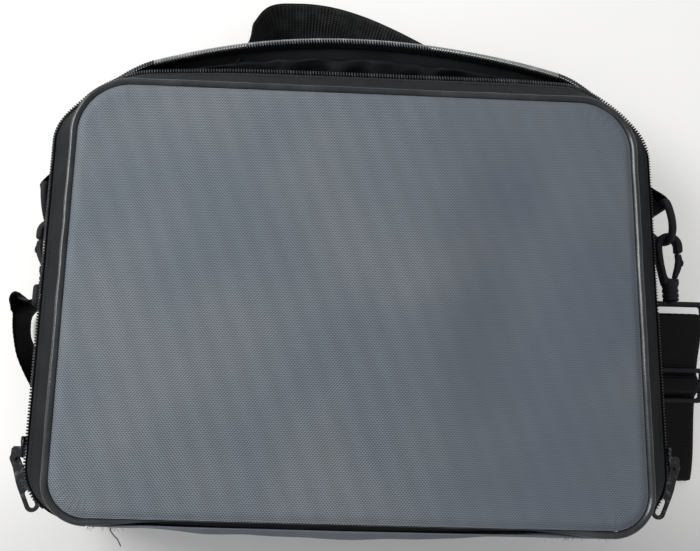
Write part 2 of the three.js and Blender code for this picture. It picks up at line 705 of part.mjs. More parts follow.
// Along the handle, each pair is a share of its length and a share of its full reach.
const handleShares = [[0, 0], [0.035, 0.3], [0.075, 0.72], [0.14, 0.97], [0.24, 1], [0.38, 0.95], [0.52, 0.8],
  [0.66, 0.58], [0.8, 0.32], [0.92, 0.09], [1, 0]]
const handleInset = PATCH_LENGTH / 2 + 6 * SEAM_GAP
const handleMiddleShare = 0.57
const leanOut = THREE.MathUtils.degToRad(HANDLE_LEAN)
const handleRoute = handleShares.map(([share, reach]) => {
  const x = mix(patchX(-1) + handleInset, patchX(1) - handleInset, share)
  const centre = wallPoint(topStation(x), handleMiddleShare, HANDLE_STANDOFF)
  const wall = bodyWall(topStation(x))
  const flat = wall.at(-1).clone().sub(wall[0]).setX(0).normalize()
  return {
    centre: centre.add(V(0, HANDLE_REACH * reach, -HANDLE_DROP * reach)),
    half: flat.lerp(V(0, Math.cos(leanOut), Math.sin(leanOut)), reach).setLength(halfWeb)
  }
})
add('carry_handle', ribbon(handleRoute), blackWeb)

// The two ends of the shoulder strap. Each has a tab sewn to the gusset, a ring in the tab, a hook on the ring
// with a sprung gate, and a swivelling loop that holds the webbing.
const ringHalf = (RING_OPENING + RING_BAR) / 2

function ring() {
  const bend = Array.from({ length: 2 * ROUND_STEPS + 1 }, (_, k) => {
    const angle = (Math.PI * k) / (2 * ROUND_STEPS)
    return V(0, -RING_DEPTH * Math.sin(angle), ringHalf * Math.cos(angle))
  })
  const path = [...bend, V(0, 0, -ringHalf / 3), V(0, 0, ringHalf / 3)]
  return hoop(path.map((centre, k) => {
    const along = path[(k + 1) % path.length].clone().sub(path.at(k - 1)).normalize()
    const across = along.clone().cross(V(1, 0, 0))
    return Array.from({ length: 6 }, (_, i) => {
      const angle = (Math.PI * i) / 3
      return centre.clone().add(V((Math.cos(angle) * RING_BAR) / 2, 0, 0))
        .addScaledVector(across, (Math.sin(angle) * RING_BAR) / 2)
    })
  }))
}

// Tab: webbing folded round the ring's straight bar, both ends lying on the gusset.
function tab(ringX, ringY, ringZ, wallX) {
  const reach = RING_BAR / 2 + SEAM_GAP + WEBBING_THICKNESS / 2
  const inner = wallX + SEAM_GAP + WEBBING_THICKNESS / 2
  const lapped = WEBBING_THICKNESS + SEAM_GAP
  const round = Array.from({ length: ROUND_STEPS + 1 }, (_, k) => {
    const angle = (-Math.PI * 3) / 4 + (Math.PI * k) / ROUND_STEPS
    return V(ringX + reach * Math.cos(angle), ringY + reach * Math.sin(angle), ringZ)
  })
  const lapY = ringY + reach + 3 * WEBBING_THICKNESS
  const route = [
    V(inner, ringY + TAB_LENGTH, ringZ), V(inner, lapY, ringZ), ...round,
    V(inner + lapped, lapY + lapped, ringZ), V(inner + lapped, ringY + TAB_LENGTH, ringZ)
  ]
  return ribbon(route.map(centre => ({ centre, half: V(0, 0, halfWeb) })))
}

// Hook: an open claw on a barrel, drawn with its throat at the ring and its axis along Y.
const throat = HOOK_THROAT / 2
const clawOuter = throat + HOOK_BAR
const gateEnd = HOOK_LENGTH - HOOK_BAR
const barrelRound = BARREL_DIAMETER / 2

function hook() {
  const claw = new THREE.Shape()
  claw.moveTo(-barrelRound, 0)
  claw.lineTo(-clawOuter, HOOK_LENGTH - throat)
  claw.lineTo(-clawOuter, HOOK_LENGTH)
  claw.absarc(0, HOOK_LENGTH, clawOuter, Math.PI, 0, true)
  claw.lineTo(clawOuter, gateEnd)
  claw.lineTo(throat, gateEnd)
  claw.lineTo(throat, HOOK_LENGTH)
  claw.absarc(0, HOOK_LENGTH, throat, 0, Math.PI, false)
  claw.lineTo(-throat, HOOK_LENGTH - throat)
  claw.lineTo(-throat / 2, HOOK_BAR)
  claw.lineTo(barrelRound, HOOK_BAR)
  claw.lineTo(barrelRound, 0)
  const body = extrude(claw, HOOK_THICKNESS).translate(0, 0, -HOOK_THICKNESS / 2)
  const barrel = new THREE.CylinderGeometry(barrelRound, barrelRound, BARREL_LENGTH + HOOK_BAR / 2, 2 * ROUND_STEPS)
    .translate(0, HOOK_BAR / 2 - (BARREL_LENGTH + HOOK_BAR / 2) / 2, 0)
  const bore = new THREE.CylinderGeometry(
    STEM_DIAMETER / 2 + SLIDE_GAP, STEM_DIAMETER / 2 + SLIDE_GAP, BARREL_LENGTH, 2 * ROUND_STEPS)
    .translate(0, -BARREL_LENGTH / 2 - SLIDE_GAP - STEM_HEAD / 2, 0)
  const pocket = new THREE.CylinderGeometry(
    STEM_HEAD / 2 + SLIDE_GAP, STEM_HEAD / 2 + SLIDE_GAP, STEM_HEAD / 2 + 2 * SLIDE_GAP, 2 * ROUND_STEPS)
    .translate(0, -BARREL_LENGTH / 2, 0)
  return subtract(subtract(union(body, barrel), bore), pocket)
}

// The gate closes the claw: a slim bar from the shoulder to just short of the nose.
function gate() {
  const foot = HOOK_BAR + SLIDE_GAP + GATE_BAR / 2
  const head = gateEnd - SLIDE_GAP
  const lean = throat - GATE_BAR / 2
  const bar = new THREE.Shape()
  bar.absarc(barrelRound - GATE_BAR / 2, foot, GATE_BAR / 2, Math.PI, 2 * Math.PI)
  bar.lineTo(lean + GATE_BAR + HOOK_BAR / 2, head - HOOK_BAR)
  bar.lineTo(lean + GATE_BAR + HOOK_BAR / 2, head - 2 * SLIDE_GAP)
  bar.lineTo(lean + GATE_BAR / 2, head)
  return extrude(bar, GATE_THICKNESS).translate(0, 0, -GATE_THICKNESS / 2)
}

// The loop turns in the barrel on a headed stem and holds the webbing in its slot.
const loopTop = -BARREL_LENGTH - SLIDE_GAP
const loopHeight = LOOP_SLOT_WIDTH + 2 * LOOP_BAR
const loopBarY = loopTop - loopHeight + LOOP_BAR / 2

function loop() {
  const halfOut = LOOP_SLOT_LENGTH / 2 + LOOP_BAR
  const cut = LOOP_BAR / 2
  const low = loopTop - loopHeight
  const frame = new THREE.Shape([
    [cut - halfOut, loopTop], [halfOut - cut, loopTop], [halfOut, loopTop - cut], [halfOut, low + cut],
    [halfOut - cut, low], [cut - halfOut, low], [-halfOut, low + cut], [-halfOut, loopTop - cut]
  ].map(([x, y]) => new THREE.Vector2(x, y)).reverse())
  const slot = new THREE.Path([
    [-1, 0], [1, 0], [1, 1], [-1, 1]
  ].map(([x, y]) => new THREE.Vector2((x * LOOP_SLOT_LENGTH) / 2, loopTop - LOOP_BAR - LOOP_SLOT_WIDTH * y)))
  frame.holes.push(slot)
  const body = extrude(frame, LOOP_THICKNESS).translate(0, 0, -LOOP_THICKNESS / 2)
  const stemTop = -BARREL_LENGTH / 2
  const stemLength = stemTop - loopTop + LOOP_BAR / 2
  const stem = new THREE.CylinderGeometry(STEM_DIAMETER / 2, STEM_DIAMETER / 2, stemLength, 2 * ROUND_STEPS)
    .translate(0, stemTop - stemLength / 2, 0)
  const head = new THREE.CylinderGeometry(STEM_HEAD / 2, STEM_HEAD / 2, STEM_HEAD / 2, 2 * ROUND_STEPS)
    .translate(0, stemTop, 0)
  return union(body, stem, head)
}

// Seats the claw's throat on the ring's bow, with room for the bow's curve across the claw.
const HOOK_SEAT_Y = HOOK_LENGTH + throat - RING_BAR / 2 - 3 * SLIDE_GAP
const wallX = rimSide + clothOut
const ends = {
  right: { side: 1, x: wallX + RIGHT_RING_STANDOFF, y: RIGHT_RING_Y, z: RIGHT_RING_Z, swing: RIGHT_RING_SWING, turned: false },
  left: { side: -1, x: wallX + LEFT_RING_STANDOFF, y: LEFT_RING_Y, z: LEFT_RING_Z, swing: LEFT_RING_SWING, turned: true }
}
for (const [name, end] of Object.entries(ends)) {
  const swing = THREE.MathUtils.degToRad(end.swing)
  end.bow = V(end.x + RING_DEPTH * Math.sin(swing), end.y - RING_DEPTH * Math.cos(swing), end.z)
  end.hook = end.bow.clone().sub(V(0, HOOK_SEAT_Y, 0))
  const at = [end.side, end.hook.x, end.hook.y, end.hook.z]
  add(`${name}_tab`, place(tab(end.x, end.y, end.z, wallX), end.side, 0, 0, 0), blackWeb)
  add(`${name}_ring`, place(ring().rotateZ(swing), end.side, end.x, end.y, end.z), acetal)
  add(`${name}_hook`, place(hook(), ...at), acetal)
  add(`${name}_gate`, place(gate(), ...at), acetal)
  add(`${name}_loop`, place(end.turned ? loop().rotateY(Math.PI / 2) : loop(), ...at), acetal)
}

// Adjuster: a three-bar buckle on the strap, threaded over its middle bar.
const adjusterLength = 3 * ADJUSTER_BAR + 2 * ADJUSTER_SLOT
const adjusterHalf = LOOP_SLOT_LENGTH / 2 + LOOP_BAR

function adjuster() {
  const half = adjusterLength / 2
  const cut = ADJUSTER_BAR / 2
  const frame = new THREE.Shape([
    [-adjusterHalf, cut - half], [cut - adjusterHalf, -half], [adjusterHalf - cut, -half], [adjusterHalf, cut - half],
    [adjusterHalf, half - cut], [adjusterHalf - cut, half], [cut - adjusterHalf, half], [-adjusterHalf, half - cut]
  ].map(([x, y]) => new THREE.Vector2(x, y)))
  for (const side of [-1, 1]) {
    const [near, far] = [ADJUSTER_BAR / 2, ADJUSTER_BAR / 2 + ADJUSTER_SLOT].map(y => side * y)
    frame.holes.push(new THREE.Path([[-1, near], [1, near], [1, far], [-1, far]]
      .map(([x, y]) => new THREE.Vector2((x * LOOP_SLOT_LENGTH) / 2, y))))
  }
  return extrude(frame, ADJUSTER_THICKNESS).translate(0, 0, -ADJUSTER_THICKNESS / 2)
}

// The shoulder strap, as one ribbon. It wraps the right loop's bar, runs down through the adjuster to a turn on
// the floor, folds square under the case, crosses to the left, stands up in an open loop and wraps the left bar.
const wrap = Math.hypot(LOOP_BAR, LOOP_THICKNESS) / 2 + SEAM_GAP + WEBBING_THICKNESS / 2
const layFlat = WEBBING_THICKNESS / 2
const stacked = WEBBING_THICKNESS + SEAM_GAP
const acrossX = V(halfWeb, 0, 0)
const rightBar = V(ends.right.hook.x, ends.right.hook.y + loopBarY, ends.right.z)
const leftBar = V(-ends.left.hook.x, ends.left.hook.y + loopBarY, ends.left.z)
const turn = V(rightBar.x, -STRAP_FAR_END + STRAP_TURN, layFlat + STRAP_TURN)
const fold = V(rightBar.x, -STRAP_CROSSING, layFlat)

const slope = Math.atan2(rightBar.z + wrap - turn.z - STRAP_TURN, rightBar.y - turn.y)
const slopeTurn = THREE.MathUtils.radToDeg(slope)
const threadLift = ADJUSTER_THICKNESS / 2 + SEAM_GAP + WEBBING_THICKNESS / 2
const adjusterCentre = V(rightBar.x, rightBar.y - ADJUSTER_PLACE, rightBar.z + wrap - ADJUSTER_PLACE * Math.tan(slope))
// Along the adjuster, each pair is a share of its length and of the lift over or under its bars.
const threadShares = [[0.56, -1], [0.34, -1], [0.1, 1], [-0.1, 1], [-0.34, -1], [-0.56, -1]]
const threaded = threadShares.map(([share, lift]) => adjusterCentre.clone()
  .add(V(0, Math.cos(slope), Math.sin(slope)).multiplyScalar(share * adjusterLength))
  .add(V(0, -Math.sin(slope), Math.cos(slope)).multiplyScalar(lift * threadLift)))

const arc = (centre, radius, from, to, steps, spot) => Array.from({ length: steps + 1 }, (_, k) => {
  const angle = THREE.MathUtils.degToRad(mix(from, to, k / steps))
  return centre.clone().add(spot(radius * Math.cos(angle), radius * Math.sin(angle)))
})
const inYZ = (a, b) => V(0, a, b)
const inXY = (a, b) => V(a, b, 0)

const rightRun = [
  V(rightBar.x, rightBar.y - STRAP_LAP, rightBar.z - wrap - STRAP_LAP * Math.tan(slope)),
  ...arc(rightBar, wrap, slopeTurn - 90, slopeTurn + 90, ROUND_STEPS, inYZ),
  ...threaded,
  ...arc(turn, STRAP_TURN, slopeTurn + 90, 270, ROUND_STEPS, inYZ)
].map(centre => ({ centre, half: acrossX }))

const crease = V(1, -1, 0).multiplyScalar(halfWeb)
const outOfFold = V(1, 1, 0).normalize()
const foldRun = [
  { centre: fold.clone().add(V(0, -halfWeb - 3 * stacked, stacked)), half: acrossX },
  { centre: fold.clone().addScaledVector(outOfFold, -stacked).add(V(0, 0, stacked)), half: crease },
  { centre: fold.clone().addScaledVector(outOfFold, stacked / 2).add(V(0, 0, stacked / 2)), half: crease },
  { centre: fold.clone().addScaledVector(outOfFold, -stacked), half: crease },
  { centre: fold.clone().add(V(-halfWeb - 3 * stacked, 0, 0)), half: V(0, -halfWeb, 0) }
]

// Under the case the webbing wanders in a gentle S. Each pair is a share of the panel's half width and length.
const underShares = [[0.6, -0.06], [0.36, 0.2], [0.13, 0.12], [-0.13, -0.12], [-0.38, -0.24], [-0.64, -0.24]]
const underPoints = underShares.map(([x, y]) => V((x * PANEL_WIDTH) / 2, (y * PANEL_LENGTH) / 2, layFlat))

// On the left, each entry is a share of the loop's reach out from the bar and of its run back along the side,
// then how far the webbing stands up on edge, in quarter turns, and its height as a share of the bar's.
const loopShares = [
  [-0.7, -0.87, 0.002, 0], [-0.22, -0.85, 0.2, 0.24], [0.22, -0.77, 0.45, 0.5], [0.6, -0.62, 0.75, 0.72],
  [0.88, -0.41, 0.95, 0.79], [1, -0.18, 1.05, 0.79], [0.96, -0.02, 1.12, 0.81], [0.76, 0.07, 1.16, 0.86],
  [0.46, 0.06, 1.1, 0.93]
]
const leftLoop = loopShares.map(([out, along, edge, height]) => {
  const angle = (edge * Math.PI) / 2
  const flatZ = layFlat + Math.sin(angle) * halfWeb
  return {
    centre: V(leftBar.x - LOOP_REACH * out, leftBar.y + LOOP_RUN * along, Math.max(flatZ, mix(layFlat, leftBar.z, height))),
    half: V(0, -Math.cos(angle), Math.sin(angle)).multiplyScalar(halfWeb)
  }
})
const underRun = underPoints.map((centre, k) => {
  const before = k ? underPoints[k - 1] : foldRun.at(-1).centre
  const after = underPoints[k + 1] ?? leftLoop[0].centre
  return { centre, half: UP.clone().cross(after.clone().sub(before).setZ(0)).setLength(halfWeb) }
})
const leftWrap = [
  ...arc(leftBar, wrap, 120, 0, ROUND_STEPS, inXY),
  V(leftBar.x + wrap, leftBar.y - STRAP_LAP / 2, leftBar.z)
].map(centre => ({ centre, half: V(0, 0, halfWeb) }))

add('strap_adjuster', place(adjuster().rotateX(slope), 1, ...adjusterCentre.toArray()), acetal)
add('shoulder_strap', ribbon([...rightRun, ...foldRun, ...underRun, ...leftLoop, ...leftWrap]), blackWeb)

export default group
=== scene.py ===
"""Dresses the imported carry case: cloth panels, webbing, zips and moulded fittings on the CAD frame."""

import json
import logging
import math
import random
from dataclasses import dataclass
from enum import Enum
from typing import Callable, Sequence

import bmesh
import bpy
import numpy as np
from mathutils import Matrix, Vector, noise

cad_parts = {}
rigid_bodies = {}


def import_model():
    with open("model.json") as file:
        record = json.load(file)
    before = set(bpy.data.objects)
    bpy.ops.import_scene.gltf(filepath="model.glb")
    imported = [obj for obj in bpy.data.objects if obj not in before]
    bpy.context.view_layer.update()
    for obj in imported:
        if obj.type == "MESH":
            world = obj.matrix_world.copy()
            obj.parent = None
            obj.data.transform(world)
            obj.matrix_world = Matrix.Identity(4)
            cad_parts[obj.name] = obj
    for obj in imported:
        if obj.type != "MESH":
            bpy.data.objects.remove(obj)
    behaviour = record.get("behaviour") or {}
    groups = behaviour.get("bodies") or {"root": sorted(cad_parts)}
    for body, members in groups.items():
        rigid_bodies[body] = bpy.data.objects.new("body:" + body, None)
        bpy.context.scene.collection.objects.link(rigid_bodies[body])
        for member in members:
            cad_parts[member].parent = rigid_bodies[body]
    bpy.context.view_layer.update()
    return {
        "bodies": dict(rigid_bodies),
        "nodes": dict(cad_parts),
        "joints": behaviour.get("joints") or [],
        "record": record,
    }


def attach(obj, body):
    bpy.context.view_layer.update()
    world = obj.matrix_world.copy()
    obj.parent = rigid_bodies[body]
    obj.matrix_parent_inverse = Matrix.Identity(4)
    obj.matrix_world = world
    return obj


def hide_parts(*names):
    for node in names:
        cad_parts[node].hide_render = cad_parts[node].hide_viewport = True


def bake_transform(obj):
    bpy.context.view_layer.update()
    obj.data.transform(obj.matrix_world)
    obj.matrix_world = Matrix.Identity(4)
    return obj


LOG = logging.getLogger("carry_case")
MM = 0.001
UP = np.array([0.0, 0.0, 1.0])

Array = np.ndarray
Piece = bpy.types.Object
Tree = bpy.types.NodeTree
Node = bpy.types.Node
Socket = bpy.types.NodeSocket
Point = tuple[float, float]


class Body(str, Enum):
    """The bodies of the frame that pieces ride on."""

    CASE = "case"
    LID = "lid"
    HANDLE = "handle"


class Slot(str, Enum):
    """The record's material slots."""

    TWILL = "grey_twill"
    CLOTH = "black_cloth"
    LINING = "lining_cloth"
    PIPING = "piping_vinyl"
    TAPE = "zip_tape"
    WEBBING = "webbing"
    BOARD = "stiffener_board"
    PLASTIC = "moulded_acetal"
    METAL = "dark_metal"


# Materials


def linear(hex_colour: str) -> tuple[float, float, float, float]:
    """Turns an sRGB hex colour into linear light.

    Args:
        hex_colour: Six hex digits, such as "5C666E".

    Returns:
        Red, green, blue and an alpha of 1, in linear light.
    """
    channels = [int(hex_colour[k : k + 2], 16) / 255 for k in (0, 2, 4)]
    lit = [c / 12.92 if c <= 0.04045 else ((c + 0.055) / 1.055) ** 2.4 for c in channels]
    return (*lit, 1.0)


def add_node(tree: Tree, kind: str, inputs: dict | None = None, **settings) -> Node:
    """Adds a node, sets its properties, and fills its inputs.

    Args:
        tree: The node tree.
        kind: The node's type name, such as "ShaderNodeMath".
        inputs: Input name or number to a value, or to an output socket, which is linked.
        **settings: Properties of the node itself.

    Returns:
        The new node.
    """
    node = tree.nodes.new(kind)
    for name, value in settings.items():
        setattr(node, name, value)
    for key, value in (inputs or {}).items():
        if isinstance(value, Socket):
            tree.links.new(value, node.inputs[key])
        else:
            node.inputs[key].default_value = value
    return node


def fill(node: Node, values: dict) -> None:
    """Sets a node's inputs by name, straight on its sockets."""
    for name, value in values.items():
        node.inputs[name].default_value = value


def bands(pitch_mm: float) -> float:
    """Returns the Wave Texture scale whose bands repeat at a pitch in millimetres."""
    return 2 * math.pi / (20 * pitch_mm * MM)


def grains(size_mm: float) -> float:
    """Returns the Noise Texture scale whose grains are about a size in millimetres."""
    return 1 / (size_mm * MM)


@dataclass(frozen=True)
class Finish:
    """A surface finish. Subclasses add the pattern.

    Attributes:
        name: The material's name.
        colour: The main sRGB colour.
        shade: A second, usually darker, sRGB colour for hollows and uneven dye.
        roughness: The Principled roughness.
    """

    name: str
    colour: str
    shade: str
    roughness: float

    def build(self) -> bpy.types.Material:
        """Returns the finished material, made once and then reused."""
        found = bpy.data.materials.get(self.name)
        if found:
            return found
        material = bpy.data.materials.new(self.name)
        material.use_nodes = True
        tree = material.node_tree
        shader = tree.nodes["Principled BSDF"]
        shader.inputs["Roughness"].default_value = self.roughness
        material.diffuse_color = linear(self.colour)
        self.dress(tree, shader)
        return material

    def dress(self, tree: Tree, shader: Node) -> None:
        """Adds the finish's own pattern to the tree and its shader."""
        raise NotImplementedError

    def metric(self, tree: Tree) -> Socket:
        """Returns the piece's own flat coordinates, which are kept in metres in its UV map."""
        return add_node(tree, "ShaderNodeUVMap", uv_map="metres").outputs["UV"]

    def two_tone(self, tree: Tree, share: Socket) -> Socket:
        """Returns the shade where share is 0 and the main colour where it is 1."""
        inputs = {"Factor": share, 6: linear(self.shade), 7: linear(self.colour)}
        return add_node(tree, "ShaderNodeMix", inputs, data_type="RGBA").outputs[2]

    def dye(self, tree: Tree, shader: Node, share: Socket) -> None:
        """Colours the surface between the shade and the main colour."""
        tree.links.new(self.two_tone(tree, share), shader.inputs["Base Color"])


def turned(tree: Tree, vector: Socket, degrees: float) -> Socket:
    """Returns the coordinates turned by an angle in their own plane."""
    inputs = {"Vector": vector, "Rotation": (0, 0, math.radians(degrees))}
    return add_node(tree, "ShaderNodeMapping", inputs).outputs["Vector"]


def wave(tree: Tree, vector: Socket, pitch_mm: float, wander: float = 0.0, direction: str = "X") -> Socket:
    """Returns ribs of a pitch across one direction of the coordinates, from 0 in a groove to 1 on a rib."""
    inputs = {"Vector": vector, "Scale": bands(pitch_mm), "Distortion": wander, "Detail": 1.0,
              "Detail Scale": 1.5}
    return add_node(tree, "ShaderNodeTexWave", inputs, bands_direction=direction).outputs["Fac"]


def specks(tree: Tree, vector: Socket, size_mm: float, low: float, high: float,
           detail: float = 3.0) -> Socket:
    """Returns noise of a grain size, stretched so that low becomes 0 and high becomes 1."""
    raw = add_node(tree, "ShaderNodeTexNoise", {"Vector": vector, "Scale": grains(size_mm), "Detail": detail})
    ends = {"Value": raw.outputs["Fac"], "From Min": low, "From Max": high}
    return add_node(tree, "ShaderNodeMapRange", ends).outputs["Result"]


def maths(tree: Tree, operation: str, first, second) -> Socket:
    """Returns the result of one Math node on two numbers or sockets."""
    return add_node(tree, "ShaderNodeMath", {0: first, 1: second}, operation=operation).outputs["Value"]


def tinted(tree: Tree, colour: Socket, share: Socket, tint: str) -> Socket:
    """Returns a colour with an sRGB tint laid over it by a share."""
    inputs = {"Factor": share, 6: colour, 7: linear(tint)}
    return add_node(tree, "ShaderNodeMix", inputs, data_type="RGBA", blend_type="MULTIPLY").outputs[2]


def raise_by(tree: Tree, shader: Node, height: Socket, depth_mm: float) -> None:
    """Bumps the surface by a height of 0 to 1 that stands for a real depth in millimetres."""
    inputs = {"Height": height, "Distance": depth_mm * MM, "Strength": 1.0}
    tree.links.new(add_node(tree, "ShaderNodeBump", inputs).outputs["Normal"], shader.inputs["Normal"])


@dataclass(frozen=True)
class PolyesterTwill(Finish):
    """Heavy polyester twill, dyed grey and coated behind: matt, with fine crossed ribs, uneven dye and
    painted shade on its right-hand side.

    The real ribs are about 0.7 mm apart, too fine for the render, so they are drawn at rib_mm.

    Attributes:
        rib_mm: From one diagonal rib to the next.
        yarn_mm: From one yarn to the next.
        cool: The sRGB tint of the patches where the dye has turned bluish.
        painted_shade_tint: The sRGB tint of the shade painted over the right-hand side, whose ribs lean away
            from the light.
    """

    rib_mm: float = 1.38
    yarn_mm: float = 1.1
    cool: str = "EDF2F8"
    painted_shade_tint: str = "EBECF1"

    def dress(self, tree: Tree, shader: Node) -> None:
        """Adds the crossed ribs, of which one or the other leads by patches, the yarns, the cloudy dye and
        the painted shade on the right.
        """
        flat = self.metric(tree)
        one, two = (wave(tree, turned(tree, flat, angle), self.rib_mm, 0.5) for angle in (41, -39))
        lead = specks(tree, flat, 42, 0.1, 0.9, 1.0)
        ribs = add_node(tree, "ShaderNodeMix", {"Factor": lead, 2: one, 3: two}, data_type="FLOAT").outputs[0]
        yarns = wave(tree, turned(tree, flat, -3), self.yarn_mm, 0.7, "Y")
        weave = maths(tree, "ADD", maths(tree, "MULTIPLY", ribs, 0.62), maths(tree, "MULTIPLY", yarns, 0.38))
        thread = add_node(tree, "ShaderNodeMapRange", {"Value": weave, "From Min": 0.24, "From Max": 0.76})
        cloud = specks(tree, flat, 95, 0.38, 0.62, 1.5)
        # Painted shade: towards the right-hand side the colour is darkened by a tint and the weave's contrast
        # flattened, along a wandering edge.
        across = add_node(tree, "ShaderNodeSeparateXYZ", {"Vector": flat}).outputs["X"]
        stray = maths(tree, "MULTIPLY", specks(tree, flat, 60, 0.3, 0.7, 1.0), 0.03)
        strayed = maths(tree, "ADD", across, stray)
        right = add_node(tree, "ShaderNodeMapRange", {"Value": strayed, "From Min": 0.03, "From Max": 0.105},
                         interpolation_type="SMOOTHSTEP").outputs["Result"]
        flatter = {"Factor": maths(tree, "MULTIPLY", right, 0.45), 2: thread.outputs["Result"], 3: 0.5}
        dyed = self.two_tone(tree, add_node(tree, "ShaderNodeMix", flatter, data_type="FLOAT").outputs[0])
        dyed = tinted(tree, tinted(tree, dyed, cloud, self.cool), right, self.painted_shade_tint)
        tree.links.new(dyed, shader.inputs["Base Color"])
        raise_by(tree, shader, weave, 0.2)
        fill(shader, {"Sheen Weight": 0.08, "Sheen Roughness": 0.5, "Specular IOR Level": 0.3})


@dataclass(frozen=True)
class OxfordNylon(Finish):
    """Plain-woven black nylon, slightly faded: matt with a fine grid of yarns.

    Attributes:
        yarn_mm: Yarn spacing. Real yarns are 0.4 mm apart and are drawn a little coarser to show.
        sheen: How much light the loose fibres return at a low angle.
    """

    yarn_mm: float = 0.9
    sheen: float = 0.25

    def dress(self, tree: Tree, shader: Node) -> None:
        """Adds the crossing yarns and the faded patches."""
        flat = self.metric(tree)
        warp, weft = (wave(tree, flat, self.yarn_mm, 0.4, direction) for direction in "XY")
        weave = maths(tree, "MULTIPLY", warp, weft)
        faded = specks(tree, flat, 30, 0.35, 0.7)
        tone = maths(tree, "ADD", maths(tree, "MULTIPLY", weave, 0.35), maths(tree, "MULTIPLY", faded, 0.5))
        self.dye(tree, shader, tone)
        raise_by(tree, shader, weave, 0.1)
        fill(shader, {"Sheen Weight": self.sheen, "Sheen Roughness": 0.4, "Specular IOR Level": 0.3})


@dataclass(frozen=True)
class CoatedLining(Finish):
    """Thin coated nylon lining: black, with a soft bluish gloss that shows on its folds, and painted shade in
    the hollows of its creases.
    """

    def dress(self, tree: Tree, shader: Node) -> None:
        """Adds the small creases, with painted shade in their hollows, and the bluish gloss."""
        flat = self.metric(tree)
        crease = specks(tree, flat, 14, 0.3, 0.75)
        # The creases' height also sets the colour: painted shade in their hollows, lighter on their crests.
        self.dye(tree, shader, crease)
        raise_by(tree, shader, crease, 0.5)
        fill(shader, {"Specular IOR Level": 0.3, "Coat Weight": 0.06, "Coat Roughness": 0.45,
                      "Sheen Weight": 0.06, "Sheen Roughness": 0.35, "Sheen Tint": linear("8C97B4")})


@dataclass(frozen=True)
class ExtrudedVinyl(Finish):
    """Soft vinyl piping, extruded over a cord: dark grey, satin, with a leathery grain and rubbed patches."""

    grain_mm: float = 1.4

    def dress(self, tree: Tree, shader: Node) -> None:
        """Adds the grain and the patches where handling has polished it."""
        flat = self.metric(tree)
        grain = specks(tree, flat, self.grain_mm, 0.35, 0.65)
        rubbed = specks(tree, flat, 22, 0.4, 0.66)
        self.dye(tree, shader, rubbed)
        rough = add_node(tree, "ShaderNodeMapRange", {"Value": rubbed, "To Min": self.roughness + 0.1,
                                                      "To Max": self.roughness - 0.05})
        tree.links.new(rough.outputs["Result"], shader.inputs["Roughness"])
        raise_by(tree, shader, grain, 0.05)
        fill(shader, {"Coat Weight": 0.45, "Coat Roughness": 0.13})


@dataclass(frozen=True)
class ZipTapeWeave(Finish):
    """Woven polyester zip tape: black, matt, with a fine herringbone."""

    rib_mm: float = 1.0

    def dress(self, tree: Tree, shader: Node) -> None:
        """Adds the two diagonal sets of ribs."""
        flat = self.metric(tree)
        one, two = (wave(tree, turned(tree, flat, angle), self.rib_mm) for angle in (40, -40))
        weave = maths(tree, "MAXIMUM", one, two)
        self.dye(tree, shader, weave)
        raise_by(tree, shader, weave, 0.12)
        shader.inputs["Specular IOR Level"].default_value = 0.08


@dataclass(frozen=True)
class PolypropyleneWebbing(Finish):
    """Ribbed polypropylene webbing: black, with coarse ribs across it and a dull shine on each yarn.

    The ribs themselves are in the mesh; the material adds the yarn bundles that run along them.
    """

    yarn_mm: float = 1.5

    def dress(self, tree: Tree, shader: Node) -> None:
        """Adds the yarn bundles along the webbing and the dust in its hollows."""
        flat = self.metric(tree)
        yarns = wave(tree, flat, self.yarn_mm, 0.5, "Y")
        picks = wave(tree, flat, 2.4, 0.2)
        dust = specks(tree, flat, 9, 0.45, 0.75)
        weave = maths(tree, "MULTIPLY", yarns, picks)
        tone = maths(tree, "ADD", maths(tree, "MULTIPLY", weave, 0.55), maths(tree, "MULTIPLY", dust, 0.25))
        self.dye(tree, shader, tone)
        raise_by(tree, shader, weave, 0.22)
        fill(shader, {"Sheen Weight": 0.03, "Sheen Roughness": 0.35, "Specular IOR Level": 0.2})


@dataclass(frozen=True)
class MouldedPlastic(Finish):
    """Injection-moulded acetal or nylon: black, satin, with a fine spark-eroded texture and small scuffs."""

    texture_mm: float = 0.5

    def dress(self, tree: Tree, shader: Node) -> None:
        """Adds the mould texture and the scuffs."""
        place = add_node(tree, "ShaderNodeTexCoord").outputs["Object"]
        texture = specks(tree, place, self.texture_mm, 0.3, 0.7)
        scuff = specks(tree, place, 6, 0.5, 0.75)
        self.dye(tree, shader, scuff)
        rough = add_node(tree, "ShaderNodeMapRange", {"Value": scuff, "To Min": self.roughness,
                                                      "To Max": self.roughness + 0.18})
        tree.links.new(rough.outputs["Result"], shader.inputs["Roughness"])
        raise_by(tree, shader, texture, 0.03)


@dataclass(frozen=True)
class EnamelledDieCast(Finish):
    """Die-cast zinc under thin black enamel: glossy, rubbed to dull metal in places."""

    wear_mm: float = 3.0

    def dress(self, tree: Tree, shader: Node) -> None:
        """Adds the rubbed places, which are brighter and more metallic."""
        place = add_node(tree, "ShaderNodeTexCoord").outputs["Object"]
        worn = specks(tree, place, self.wear_mm, 0.55, 0.75)
        self.dye(tree, shader, maths(tree, "SUBTRACT", 1.0, worn))
        tree.links.new(maths(tree, "MULTIPLY", worn, 0.7), shader.inputs["Metallic"])
        raise_by(tree, shader, specks(tree, place, 0.8, 0.3, 0.7), 0.02)


@dataclass(frozen=True)
class SpunThread(Finish):
    """Spun polyester sewing thread or loose yarn: matt, twisted."""

    twist_mm: float = 0.9

    def dress(self, tree: Tree, shader: Node) -> None:
        """Adds the twist."""
        place = add_node(tree, "ShaderNodeTexCoord").outputs["Object"]
        twist = wave(tree, turned(tree, place, 30), self.twist_mm)
        self.dye(tree, shader, twist)
        raise_by(tree, shader, twist, 0.05)


